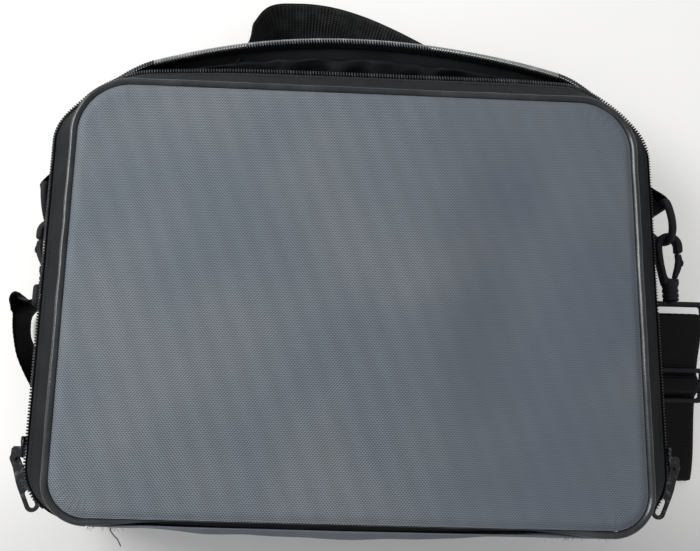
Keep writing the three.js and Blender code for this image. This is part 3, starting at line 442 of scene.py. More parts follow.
@dataclass(frozen=True)
class PressedBoard(Finish):
    """Grey pressed fibre board or felt padding, hidden inside the cloth: dull and speckled."""

    fibre_mm: float = 1.5

    def dress(self, tree: Tree, shader: Node) -> None:
        """Adds the fibres."""
        place = add_node(tree, "ShaderNodeTexCoord").outputs["Object"]
        fibres = specks(tree, place, self.fibre_mm, 0.3, 0.7)
        self.dye(tree, shader, fibres)
        raise_by(tree, shader, fibres, 0.1)


TWILL = PolyesterTwill("grey_polyester_twill", "989FA5", "52585C", 0.75)
GUSSET_CLOTH = OxfordNylon("black_oxford_nylon", "282A2C", "151618", 0.82, 1.0, 0.05)
BACK_CLOTH = OxfordNylon("black_back_cloth", "2E3033", "1C1E20", 0.82, 1.1)
LINING = CoatedLining("coated_nylon_lining", "0E1014", "040507", 0.45)
VINYL = ExtrudedVinyl("extruded_vinyl_piping", "3A3D40", "222527", 0.28)
TAPE = ZipTapeWeave("woven_zip_tape", "101112", "060607", 0.85)
COIL = MouldedPlastic("drawn_nylon_coil", "5C5E60", "323436", 0.3, 0.8)
# A paler copy of the coil, whose colour is a painted highlight for the teeth that face the light.
PAINTED_HIGHLIGHT_COIL = MouldedPlastic("painted_highlight_nylon_coil", "C4C6C7", "8E9092", 0.3, 0.8)
WEBBING = PolypropyleneWebbing("polypropylene_webbing", "141516", "050505", 0.5)
# The handle's ribs carry a painted highlight: a paler copy of the strap's webbing, with a dull, paler face on
# its ribs.
PAINTED_HIGHLIGHT_HANDLE_WEBBING = PolypropyleneWebbing("painted_highlight_handle_webbing", "4A4C4E", "040505", 0.5)
ACETAL = MouldedPlastic("moulded_acetal", "131415", "0A0B0C", 0.34)
ENAMEL = EnamelledDieCast("enamelled_die_cast", "1B1C1E", "77797D", 0.3)
BLACK_THREAD = SpunThread("black_sewing_thread", "26282B", "0E0F11", 0.7)
GREY_YARN = SpunThread("loose_grey_yarn", "D6D8D8", "9A9E9E", 0.85)
BOARD = PressedBoard("pressed_stiffener_board", "5A5B5C", "3C3D3E", 0.9)


# Mesh helpers. Grids hold points in metres as arrays of rows by columns by 3.


def metres_map(grid: Array, wrap_rows: bool, wrap_columns: bool) -> Array:
    """Lays a grid out flat by its own lengths.

    Args:
        grid: Points, rows by columns by 3.
        wrap_rows: True where the last row joins the first.
        wrap_columns: True where the last column joins the first.

    Returns:
        Two flat coordinates in metres for each point, with one more row or column where it wraps.
    """
    if wrap_rows:
        grid = np.concatenate([grid, grid[:1]], 0)
    if wrap_columns:
        grid = np.concatenate([grid, grid[:, :1]], 1)
    along = np.zeros(grid.shape[:2])
    across = np.zeros(grid.shape[:2])
    step_rows = np.linalg.norm(np.diff(grid, axis=0), axis=2)
    step_columns = np.linalg.norm(np.diff(grid, axis=1), axis=2)
    along[1:] = np.cumsum(step_rows.mean(1))[:, None]
    across[:, 1:] = np.cumsum(step_columns.mean(0))[None, :]
    return np.stack([along, across], 2)


def linked(name: str, data: bpy.types.ID) -> Piece:
    """Returns a new object that shows some data, linked to the scene."""
    made = bpy.data.objects.new(name, data)
    bpy.context.scene.collection.objects.link(made)
    return made


def mesh_object(name: str, points: Array, faces: Sequence[Sequence[int]], smooth: bool = True) -> Piece:
    """Makes an object from points and faces.

    Args:
        name: The piece's name.
        points: Points in metres.
        faces: Point numbers of each face.
        smooth: True for smooth shading.

    Returns:
        The linked object.
    """
    mesh = bpy.data.meshes.new(name)
    mesh.from_pydata(np.asarray(points, float).reshape(-1, 3).tolist(), [], [list(f) for f in faces])
    mesh.polygons.foreach_set("use_smooth", [smooth] * len(mesh.polygons))
    mesh.update()
    return linked(name, mesh)


def grid_object(name: str, grid: Array, wrap_rows: bool = False, wrap_columns: bool = False,
                flat: Array | None = None, caps: bool = False) -> Piece:
    """Makes a smooth surface from a grid of points, with its flat coordinates in metres as a UV map.

    Args:
        name: The piece's name.
        grid: Points, rows by columns by 3.
        wrap_rows: True where the last row joins the first.
        wrap_columns: True where the last column joins the first.
        flat: Flat coordinates to use in place of the grid's own lengths.
        caps: True to close the first and last rows with rungs between their two halves.

    Returns:
        The linked object.
    """
    rows, columns = grid.shape[:2]
    flat = metres_map(grid, wrap_rows, wrap_columns) if flat is None else flat
    faces: list[tuple[int, ...]] = []
    layout: list[Point] = []
    for i in range(rows if wrap_rows else rows - 1):
        for j in range(columns if wrap_columns else columns - 1):
            corners = [(i, j), (i + 1, j), (i + 1, j + 1), (i, j + 1)]
            faces.append(tuple((a % rows) * columns + b % columns for a, b in corners))
            last = flat.shape[0] - 1, flat.shape[1] - 1
            layout.extend(tuple(flat[min(a, last[0]), min(b, last[1])]) for a, b in corners)
    if caps:
        for row in (0, rows - 1):
            for k in range(columns // 2 - 1):
                rung = [k, k + 1, columns - 2 - k, columns - 1 - k]
                rung = rung if row else rung[::-1]
                faces.append(tuple(row * columns + c for c in rung))
                layout.extend(tuple(flat[row, c]) for c in rung)
    made = mesh_object(name, grid, faces)
    uv = made.data.uv_layers.new(name="metres")
    uv.data.foreach_set("uv", np.array(layout, np.float32).ravel())
    return made


def face_outwards(made: Piece) -> Piece:
    """Turns every face of a closed mesh to point out of it."""
    shape = bmesh.new()
    shape.from_mesh(made.data)
    bmesh.ops.recalc_face_normals(shape, faces=shape.faces)
    shape.to_mesh(made.data)
    shape.free()
    return made


def joined(name: str, pieces: Sequence[Piece]) -> Piece:
    """Joins several objects into one, keeping their materials and flat coordinates.

    Args:
        name: The joined piece's name.
        pieces: The objects, whose places are already in their meshes.

    Returns:
        The joined object.
    """
    bpy.ops.object.select_all(action="DESELECT")
    for piece in pieces:
        piece.select_set(True)
    bpy.context.view_layer.objects.active = pieces[0]
    bpy.ops.object.join()
    pieces[0].name = name
    pieces[0].data.name = name
    return pieces[0]


def applied(made: Piece) -> Piece:
    """Makes an object's modifiers or curve into a plain mesh."""
    depsgraph = bpy.context.evaluated_depsgraph_get()
    mesh = bpy.data.meshes.new_from_object(made.evaluated_get(depsgraph))
    if made.type == "MESH":
        made.modifiers.clear()
        made.data = mesh
        return made
    name = made.name
    bpy.data.objects.remove(made)
    return linked(name, mesh)


def frames_along(path: Array, side: Array, closed: bool) -> tuple[Array, Array]:
    """Finds the directions across a path.

    Args:
        path: Points in metres.
        side: A direction at each point that one axis of the section stays close to.
        closed: True where the last point joins the first.

    Returns:
        Two unit directions at each point, square to the path and to each other.
    """
    if closed:
        along = np.roll(path, -1, 0) - np.roll(path, 1, 0)
    else:
        along = np.gradient(path, axis=0)
    along /= np.linalg.norm(along, axis=1, keepdims=True)
    first = side - (side * along).sum(1, keepdims=True) * along
    first /= np.linalg.norm(first, axis=1, keepdims=True)
    return first, np.cross(along, first)


def swept(name: str, path: Array, side: Array, section: Callable[[int], Array] | Array,
          closed: bool = False) -> Piece:
    """Sweeps a closed section along a path.

    Args:
        name: The piece's name.
        path: Points in metres.
        side: A direction at each point for the section's first axis.
        section: Points of two numbers in metres, or a function that gives them for a point's number.
        closed: True where the path's last point joins the first.

    Returns:
        The linked object.
    """
    first, second = frames_along(path, side, closed)
    shape = section if callable(section) else lambda _: section
    rings = [path[k] + shape(k)[:, :1] * first[k] + shape(k)[:, 1:] * second[k] for k in range(len(path))]
    return face_outwards(grid_object(name, np.array(rings), closed, True, caps=not closed))


def circle(radius: float, count: int) -> Array:
    """Returns the points of a circle about the origin."""
    angle = np.linspace(0, 2 * np.pi, count, endpoint=False)
    return np.stack([np.cos(angle), np.sin(angle)], 1) * radius


def plate(name: str, loops: Sequence[Sequence[Point]], thickness: float, bevel: float,
          place: Matrix) -> Piece:
    """Makes a flat moulding with rounded edges.

    Args:
        name: The piece's name.
        loops: The outline, then any holes, as points in metres.
        thickness: Its whole thickness in metres.
        bevel: How much of each edge is rounded.
        place: Where it stands in the part's frame; it is drawn about its own middle plane.

    Returns:
        The linked object.
    """
    curve = bpy.data.curves.new(name, "CURVE")
    curve.dimensions = "2D"
    curve.fill_mode = "BOTH"
    curve.extrude = thickness / 2 - bevel
    curve.bevel_depth = bevel
    curve.bevel_resolution = 2
    curve.offset = -bevel
    for loop in loops:
        spline = curve.splines.new("POLY")
        spline.points.add(len(loop) - 1)
        for point, (x, y) in zip(spline.points, loop):
            point.co = (x, y, 0, 1)
        spline.use_cyclic_u = True
    drawn = linked(name, curve)
    bpy.context.view_layer.update()
    made = applied(drawn)
    made.data.transform(place)
    mesh = made.data
    mesh.polygons.foreach_set("use_smooth", [abs(p.normal.dot(place.to_3x3().col[2].normalized())) < 0.999
                                             for p in mesh.polygons])
    return made


def turned_solid(name: str, profile: Sequence[Point], place: Matrix, steps: int = 32) -> Piece:
    """Turns a profile of radius and height pairs about the Y axis.

    Args:
        name: The piece's name.
        profile: Radius and height along Y, in metres, starting and ending on the axis.
        place: Where it stands in the part's frame.
        steps: How many sides it has.

    Returns:
        The linked object.
    """
    angles = np.linspace(0, 2 * np.pi, steps, endpoint=False)
    rings = [[(r * math.cos(a), y, r * math.sin(a)) for a in angles] for r, y in profile]
    made = grid_object(name, np.array(rings), wrap_columns=True)
    made.data.transform(place)
    return face_outwards(made)


def smoothed(values: Array, marks: Array, at: Array) -> Array:
    """Runs a smooth curve through values at their marks.

    Args:
        values: Points, one for each mark.
        marks: Rising numbers.
        at: The marks to read the curve at.

    Returns:
        The curve's points.
    """
    slope = np.gradient(values, marks, axis=0)
    k = np.clip(np.searchsorted(marks, at, side="right") - 1, 0, len(marks) - 2)
    span = (marks[k + 1] - marks[k])[:, None]
    t = ((at - marks[k]) / (marks[k + 1] - marks[k]))[:, None]
    h00, h10 = 2 * t**3 - 3 * t**2 + 1, t**3 - 2 * t**2 + t
    h01, h11 = -2 * t**3 + 3 * t**2, t**3 - t**2
    return h00 * values[k] + h10 * span * slope[k] + h01 * values[k + 1] + h11 * span * slope[k + 1]


def run_along(points: Array) -> Array:
    """Returns the distance along some points, from the first to each."""
    return np.concatenate([[0], np.cumsum(np.linalg.norm(np.diff(points, axis=0), axis=1))])


def clouded(x: Array, y: Array, size: float, seed: float) -> Array:
    """Returns smooth noise from -1 to 1 at places on a plane, in patches of a size."""
    values = [noise.noise(Vector((a / size, b / size, seed))) for a, b in zip(x.flat, y.flat)]
    return np.array(values).reshape(x.shape)


def arc_points(x: float, y: float, radius: float, start: float, end: float, count: int) -> list[Point]:
    """Returns points of an arc about a centre, from one angle to another in degrees."""
    angles = [math.radians(start + (end - start) * k / count) for k in range(count + 1)]
    return [(x + radius * math.cos(angle), y + radius * math.sin(angle)) for angle in angles]


def mirrored(side: int, origin: Sequence[float], *moves: Matrix) -> Matrix:
    """Returns the matrix from a fitting's own millimetres to the part's frame, mirrored on the left side."""
    placed = Matrix.Diagonal((side * MM, MM, MM, 1)) @ Matrix.Translation(Vector(origin))
    for move in moves:
        placed = placed @ move
    return placed


def crumple(points: Array, normals: Array, size_mm: float, depth_mm: float, seed: float) -> Array:
    """Moves points along their normals by smooth noise.

    Args:
        points: Points in metres, any shape ending in 3.
        normals: A direction for each point.
        size_mm: The size of a crease.
        depth_mm: The largest move.
        seed: Picks one pattern of creases.

    Returns:
        The moved points.
    """
    flat = points.reshape(-1, 3)
    scale = grains(size_mm)
    lift = np.array([noise.noise(Vector(p * scale) + Vector((seed, -seed, 2 * seed))) for p in flat])
    return points + normals * (lift * depth_mm * MM).reshape(points.shape[:-1] + (1,))


def grid_normals(grid: Array) -> Array:
    """Returns the unit normal at each point of a grid."""
    cross = np.cross(np.gradient(grid, axis=0), np.gradient(grid, axis=1))
    return cross / np.maximum(np.linalg.norm(cross, axis=2, keepdims=True), 1e-12)


def settle(piece: Piece, finish: Finish, body: Body | str, slot: Slot, *nodes: str) -> Piece:
    """Gives a piece its finish, its body and the CAD nodes that it stands for.

    Args:
        piece: The object, in the part's frame.
        finish: Its finish.
        body: The body that it rides on.
        slot: The record's material slot; not used.
        *nodes: CAD nodes that it replaces.

    Returns:
        The same object.
    """
    if not piece.data.materials:
        piece.data.materials.append(finish.build())
    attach(piece, body.value if isinstance(body, Body) else body)
    if nodes:
        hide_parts(*nodes)
    LOG.info("%s: %d faces", piece.name, len(piece.data.polygons))
    return piece


# The case's own form, from the same sizes as the frame


@dataclass(frozen=True)
class Edge:
    """A rounded rectangle, in millimetres.

    Attributes:
        half_width: Half of its size across.
        top: Its edge towards the carry handle.
        bottom: Its edge at the hinge.
        top_right: The radius of its upper right corner.
        top_left: The radius of its upper left corner.
        bottom_corner: The radius of its two lower corners.
    """

    half_width: float
    top: float
    bottom: float
    top_right: float
    top_left: float
    bottom_corner: float


@dataclass(frozen=True)
class CaseForm:
    """The walls, seams and zip rows of the case, which every cloth piece is drawn on, in millimetres."""

    panel_width: float = 372.4
    panel_length: float = 278.0
    panel_corner_top: float = 36.0
    panel_corner_bottom: float = 26.0
    panel_thickness: float = 4.0
    piping: float = 4.6
    body_depth: float = 56.9
    lid_depth: float = 17.7
    flare_side: float = 12.6
    flare_top: float = 19.0
    flare_bottom: float = 0.5
    rim_corner_top_right: float = 56.0
    rim_corner_top_left: float = 58.0
    rim_corner_bottom: float = 34.0
    mouth_bow: float = 33.0
    mouth_sag: float = 12.0
    mouth_shape: float = 0.9
    cloth: float = 1.2
    gap: float = 0.3
    wall_bulge: float = 3.5
    base_bulge: float = 6.6
    tape_width: float = 6.8
    tape_lap: float = 0.5
    tape_thickness: float = 0.9
    row_gap: float = 2.6
    coil: float = 2.6
    webbing: float = 2.0
    top_slack: float = 1.8
    sag: float = 4.8
    sag_across: float = 4.8
    lid_lap: float = 4.1
    lid_turn: float = 60.0
    mouth_turn: float = 22.0
    corner_tuck: float = 7.0

    # Stations along each outline: six to a corner, three up each side, twelve along the top, eight below.
    CORNER = 6
    ARC_STARTS = (0, 9, 27, 36)
    BASE_START = 42
    STATIONS = 50

    # The slack upper left and upper right corners: station, spread, and the stations where each tuck fades.
    LEFT_TUCK = (29.0, 3.2, 30.6, 33.0)
    RIGHT_TUCK = (12.6, 2.2, 9.2, 11.2)
    RIGHT_SHARE = 0.75
    # Millimetres below the middle where the base starts to sag, and where it sags fully.
    SAG_RANGE = (40, 125)
    # Millimetres above the middle where the lid's free tape starts to turn, and where it has turned.
    TURN_RANGE = (101, 128)
    # Stations beside the base over which the lid cloth's lap comes and goes.
    LAP_START = (0, 1.5)
    LAP_END = (40.5, 42)
    # Along the sides, how far the lid cloth lies inside its place and how much further down, in millimetres.
    SIDE_INSET = 3.0
    SIDE_LAP = 1.1

    @property
    def back_z(self) -> float:
        """Height of the back piping's centre, over the strap that the case lies on."""
        return self.webbing + self.gap + self.piping / 2

    @property
    def zip_z(self) -> float:
        """Height midway between the two rows."""
        return self.back_z + self.body_depth

    @property
    def front_z(self) -> float:
        """Height of the front piping's centre."""
        return self.zip_z + self.lid_depth

    @property
    def seam_foot(self) -> float:
        """Height where the body's wall leaves the back piping."""
        return self.back_z + self.piping / 2 + self.gap

    @property
    def seam_head(self) -> float:
        """Height where the lid's wall meets the front piping."""
        return self.front_z - self.piping / 2 - self.gap

    @property
    def cloth_out(self) -> float:
        """How far a wall's outer face stands outside its tape."""
        return self.gap + self.cloth

    @property
    def seam_edge(self) -> Edge:
        """The line of the piping's centre."""
        half = (self.panel_length - self.piping) / 2
        return Edge((self.panel_width - self.piping) / 2, half + self.top_slack, -half, self.panel_corner_top,
                    self.panel_corner_top, self.panel_corner_bottom)

    @property
    def rim_edge(self) -> Edge:
        """The line of the zip rows."""
        half = self.panel_length / 2
        return Edge(self.panel_width / 2 + self.flare_side, half + self.flare_top, -half - self.flare_bottom,
                    self.rim_corner_top_right, self.rim_corner_top_left, self.rim_corner_bottom)

    def outline(self, edge: Edge, u: Array) -> tuple[Array, Array]:
        """Reads an edge at some stations.

        Args:
            edge: The rounded rectangle.
            u: Stations, from 0 at the lower right corner, anticlockwise.

        Returns:
            The places and the outward normals, as points of three numbers with no height yet.
        """
        u = np.mod(np.asarray(u, float), self.STATIONS)
        half, low, right, left = edge.half_width, edge.bottom_corner, edge.top_right, edge.top_left
        arcs = [
            (half - low, edge.bottom + low, low, -90),
            (half - right, edge.top - right, right, 0),
            (left - half, edge.top - left, left, 90),
            (low - half, edge.bottom + low, low, 180),
        ]
        place, normal = np.zeros(u.shape + (3,)), np.zeros(u.shape + (3,))

        def spot(arc: tuple[float, float, float, float], turn: Array) -> tuple[Array, Array]:
            """Returns the place and normal on an arc after a turn in degrees."""
            angle = np.radians(arc[3] + turn)
            out = np.stack([np.cos(angle), np.sin(angle), np.zeros_like(angle)], -1)
            return np.array([arc[0], arc[1], 0.0]) + out * arc[2], out

        for k, (start, arc) in enumerate(zip(self.ARC_STARTS, arcs)):
            following = (*self.ARC_STARTS[1:], self.STATIONS)[k]
            curved = (u >= start) & (u < start + self.CORNER)
            place[curved], normal[curved] = spot(arc, 90 * (u[curved] - start) / self.CORNER)
            straight = (u >= start + self.CORNER) & (u < following)
            t = ((u[straight] - start - self.CORNER) / (following - start - self.CORNER))[:, None]
            first, out = spot(arc, np.array(90.0))
            last, _ = spot(arcs[(k + 1) % 4], np.array(0.0))
            place[straight] = first * (1 - t) + last * t
            normal[straight] = out
        return place, normal

    def share(self, u: Array) -> Array:
        """Returns how far the mouth is open at each station, from 0 at the corners to 1 in the middle."""
        edge = self.rim_edge
        place, normal = self.outline(edge, u)
        corner = np.where(place[..., 0] > 0, edge.top_right, edge.top_left)
        across = np.minimum(1, np.abs(place[..., 0]) / (edge.half_width - corner / 2))
        bowed = np.maximum(0, np.cos(across * np.pi / 2)) ** self.mouth_shape
        return np.where((place[..., 1] > 0) & (normal[..., 1] > 0), bowed, 0.0)

    def normal(self, u: Array) -> Array:
        """Returns the outward direction at each station."""
        return self.outline(self.seam_edge, u)[1]

    def seam(self, u: Array, height: float) -> Array:
        """Returns the piping's centre line at a height. The lid's hangs at the base, most at the right."""
        place = self.outline(self.seam_edge, u)[0]
        hang = self.sag + self.sag_across * place[..., 0] / self.panel_width
        hang = hang * eased(-place[..., 1], *self.SAG_RANGE)
        hang = hang * eased(np.array(height, float), self.zip_z, self.front_z - 5)
        return place + UP * height - np.array([0.0, 1.0, 0.0]) * hang[..., None]

    def rim(self, u: Array) -> Array:
        """Returns the line of the zip rows, drawn in at the two upper corners where the cloth is slack."""
        u = np.mod(u, self.STATIONS)
        middle, spread, *fade = self.LEFT_TUCK
        tuck = self.corner_tuck * np.exp(-(((u - middle) / spread) ** 2)) * (1 - eased(u, *fade))
        middle, spread, *fade = self.RIGHT_TUCK
        tuck += (self.RIGHT_SHARE * self.corner_tuck * np.exp(-(((u - middle) / spread) ** 2))
                 * eased(u, *fade))
        return self.outline(self.rim_edge, u)[0] - self.normal(u) * tuck[..., None]

    def slack(self, u: Array) -> Array:
        """Returns 1 where the lid's free tape has turned outwards, and 0 along the sliders' run."""
        return eased(self.outline(self.rim_edge, u)[0][..., 1], *self.TURN_RANGE)

    def on_lid(self, u: Array, out: Array | float, down: Array | float) -> Array:
        """Returns places beside the lid's row of teeth: out of the case, and down towards the other row."""
        row, normal = self.rim(u) + UP * (self.zip_z + self.row_gap / 2), self.normal(u)
        lean = np.radians(self.lid_turn + self.mouth_turn * self.share(u)) * self.slack(u)
        cos, sin = np.cos(lean)[..., None], np.sin(lean)[..., None]
        side, towards = normal * cos + UP * sin, normal * sin - UP * cos
        return row + side * np.expand_dims(out, -1) + towards * np.expand_dims(down, -1)

    def on_body(self, u: Array, out: Array | float, up: Array | float) -> Array:
        """Returns places beside the body's row of teeth: out of the case, and up towards the other row."""
        share = self.share(u)
        row = self.rim(u)
        row[..., 1] += self.mouth_bow * share
        row[..., 2] = self.zip_z - self.row_gap / 2 - self.mouth_sag * share
        lean = share * math.atan2(self.mouth_bow + self.flare_top, self.body_depth - self.mouth_sag)
        normal = self.normal(u)
        cos, sin = np.cos(lean)[..., None], np.sin(lean)[..., None]
        side, along = normal * cos - UP * sin, UP * cos + normal * sin
        return row + side * np.expand_dims(out, -1) + along * np.expand_dims(up, -1)

    def base_fullness(self, u: Array) -> Array:
        """Returns how far the base wall bulges at each station."""
        t = (np.mod(u, self.STATIONS) - self.BASE_START) / (self.STATIONS - self.BASE_START)
        return np.where(t >= 0, self.base_bulge * np.sin(np.pi * np.maximum(t, 0)), 0.0)

    def body_wall(self, u: Array, t: Array) -> Array:
        """Returns the body wall's outer face: t runs from the back seam to the cloth edge beside the zip."""
        t = np.broadcast_to(t, u.shape)
        normal = self.normal(u)
        low = self.seam(u, self.seam_foot) + normal * self.piping / 2
        high = self.on_body(u, self.cloth_out + 0 * u, self.tape_lap - self.tape_width + 0 * u)
        swell = self.wall_bulge * (1 - self.share(u)) * np.sin(np.pi * t) + self.base_fullness(u) * t
        return low + (high - low) * t[..., None] + normal * swell[..., None]

    def lid_wall(self, u: Array, t: Array) -> Array:
        """Returns the lid wall's outer face: t runs from the cloth edge at the zip to the front seam."""
        t = np.broadcast_to(t, u.shape)
        normal = self.normal(u)
        high = self.seam(u, self.seam_head) + normal * self.piping / 2
        along = np.mod(u, self.STATIONS)
        ends = np.minimum(eased(along, *self.LAP_START), 1 - eased(along, *self.LAP_END))
        # Beside the zip the cloth ends close above the teeth; along the sides it stays inside the tape.
        upright, whole = 1 - self.slack(u), self.tape_width + self.cloth_out
        lap = whole + (self.lid_lap + self.SIDE_LAP * upright - self.tape_width - self.cloth_out) * ends
        low = self.on_lid(u, self.cloth_out - self.SIDE_INSET * upright * ends, -lap)
        low = low + normal * self.base_fullness(u)[..., None]
        return low + (high - low) * t[..., None]


FORM = CaseForm()


def stations(start: float, end: float, step_mm: float) -> Array:
    """Returns stations between two others, spaced evenly along the zip line at a step in millimetres."""
    fine = np.linspace(start, end, 4000)
    line = FORM.on_body(fine, np.zeros(fine.shape), np.zeros(fine.shape))
    length = run_along(line)
    count = max(2, round(length[-1] / step_mm) + 1)
    return np.interp(np.linspace(0, length[-1], count), length, fine)


def crossed(rows: Array, columns: Array) -> tuple[Array, Array]:
    """Returns two grids: each row's own value, and each column's own value."""
    return rows[:, None] + 0 * columns, columns[None, :] + 0 * rows[:, None]


def at_mm(*point: float) -> Array:
    """Returns a point, given in millimetres, as an array."""
    return np.array(point, float)


def unit(vectors: Array) -> Array:
    """Returns vectors at a length of 1."""
    return vectors / np.linalg.norm(vectors, axis=-1, keepdims=True)


def eased(value: Array, low: float, high: float) -> Array:
    """Returns 0 below low and 1 above high, with a smooth step between them."""
    t = np.clip((value - low) / (high - low), 0, 1)
    return t * t * (3 - 2 * t)


# Small repeated shapes: teeth, stitches and fibres


def scattered(name: str, template: Array, centres: Array, axes: Array) -> Piece:
    """Repeats a small closed shape at many places, as one mesh.

    Args:
        name: The piece's name.
        template: The shape as a grid, rows by columns by 3, whose first and last rings are closed by a face.
        centres: The places, in metres.
        axes: Three directions at each place, with their lengths, that the template's axes follow.

    Returns:
        The linked object.
    """
    rows, columns = template.shape[:2]
    points = np.einsum("rck,nkx->nrcx", template, axes) + centres[:, None, None, :]
    faces = []
    for n in range(len(centres)):
        start = n * rows * columns
        for i in range(rows - 1):
            for j in range(columns):
                k = (j + 1) % columns
                faces.append((start + i * columns + j, start + i * columns + k,
                              start + (i + 1) * columns + k, start + (i + 1) * columns + j))
        faces.append(tuple(start + j for j in reversed(range(columns))))
        faces.append(tuple(start + (rows - 1) * columns + j for j in range(columns)))
    return mesh_object(name, points, faces)


def pebble(rows: int, columns: int, squareness: float) -> Array:
    """Returns a unit rounded block as a grid, for scattered.

    Args:
        rows: How many rings it has.
        columns: How many points each ring has.
        squareness: 1 for a ball, and smaller for a block with rounder-edged flat faces.

    Returns:
        Points within half a unit of the middle.
    """
    tilt = np.linspace(-math.pi / 2 * 0.86, math.pi / 2 * 0.86, rows)
    turn = np.linspace(0, 2 * math.pi, columns, endpoint=False) + math.pi / columns
    power = lambda x: np.sign(x) * np.abs(x) ** squareness
    x = power(np.sin(tilt))[:, None] * np.ones(columns)
    y = power(np.cos(tilt))[:, None] * power(np.cos(turn))[None, :]
    z = power(np.cos(tilt))[:, None] * power(np.sin(turn))[None, :]
    return np.stack([x, y, z], 2) / 2


@dataclass(frozen=True)
class Stitching:
    """A row of machine stitches.

    Attributes:
        length: One stitch, in millimetres.
        gap: The space between two stitches.
        thickness: The thread's diameter.
    """

    length: float = 2.3
    gap: float = 0.9
    thickness: float = 0.55

    def sew(self, name: str, line: Array, out: Array) -> Piece:
        """Sews along a line.

        Args:
            name: The piece's name.
            line: Points in millimetres on the cloth's face.
            out: The face's outward direction at each point.

        Returns:
            The stitches as one object.
        """
        length = run_along(line)
        count = max(1, int(length[-1] / (self.length + self.gap)))
        middle = (np.arange(count) + 0.5) * length[-1] / count
        spot = lambda at: np.stack([np.interp(at, length, line[:, k]) for k in range(3)], 1)
        side = unit(np.stack([np.interp(middle, length, out[:, k]) for k in range(3)], 1))
        along = unit(spot(middle + 0.3) - spot(middle - 0.3))
        across = unit(np.cross(side, along))
        axes = np.stack([along * self.length, side * self.thickness, across * self.thickness], 1) * MM
        return scattered(name, pebble(4, 5, 1.0), (spot(middle) + side * self.thickness * 0.2) * MM, axes)


STITCHES = Stitching()


# Cloth


def cloth_shell(name: str, face: Array, thickness: float, wrap_rows: bool = False,
                flat: Array | None = None) -> Piece:
    """Makes a closed strip of cloth from its outer face.

    Args:
        name: The piece's name.
        face: Points in millimetres: rows run along the strip and columns across it.
        thickness: The cloth's thickness.
        wrap_rows: True for a strip that closes on itself.
        flat: Flat coordinates for the outer face, in metres.

    Returns:
        The linked object, with rounded edges.
    """
    normal = grid_normals(face)
    if (normal * (face - face.mean((0, 1)))).sum() < 0:
        normal = -normal
    middle = face - normal * thickness / 2
    across = unit(np.gradient(face, axis=1))
    first = middle[:, :1] - across[:, :1] * thickness * 0.35
    last = middle[:, -1:] + across[:, -1:] * thickness * 0.35
    ring = np.concatenate([first, face, last, (face - normal * thickness)[:, ::-1]], 1)
    if flat is not None:
        flat = np.concatenate([flat[:, :1], flat, flat[:, -1:], flat[:, ::-1], flat[:, :1]], 1)
        flat = np.concatenate([flat, flat[:1]], 0) if wrap_rows else flat
    made = grid_object(name, ring * MM, wrap_rows, True, flat)
    if not wrap_rows:
        close_ends(made, ring.shape[0], ring.shape[1])
    return face_outwards(made)


def close_ends(made: Piece, rows: int, columns: int) -> None:
    """Closes the two open ends of a strip that was made from rings, whose first point lies in its edge."""
    shape = bmesh.new()
    shape.from_mesh(made.data)
    shape.verts.ensure_lookup_table()
    half = (columns - 2) // 2
    for row in (0, rows - 1):
        spot = lambda c: shape.verts[row * columns + c % columns]
        shape.faces.new([spot(0), spot(1), spot(columns - 1)])
        shape.faces.new([spot(half), spot(half + 1), spot(half + 2)])
        for k in range(1, half):
            shape.faces.new([spot(k), spot(k + 1), spot(columns - 1 - k), spot(columns - k)])
    shape.to_mesh(made.data)
    shape.free()


@dataclass(frozen=True)
class Dent:
    """A soft hollow or swelling in a padded panel, in millimetres.

    Attributes:
        x: Its place across the panel.
        y: Its place along the panel.
        wide: Its half width.
        long: Its half length.
        turn: How far its length is turned from +Y, in degrees.
        rise: Its height, which is negative for a hollow.
    """

    x: float
    y: float
    wide: float
    long: float
    turn: float
    rise: float

    def lift(self, x: Array, y: Array) -> Array:
        """Returns the height that it adds at each place."""
        cos, sin = math.cos(math.radians(self.turn)), math.sin(math.radians(self.turn))
        across, along = (x - self.x) * cos + (y - self.y) * sin, (y - self.y) * cos - (x - self.x) * sin
        return self.rise * np.exp(-((across / self.wide) ** 2) - (along / self.long) ** 2)


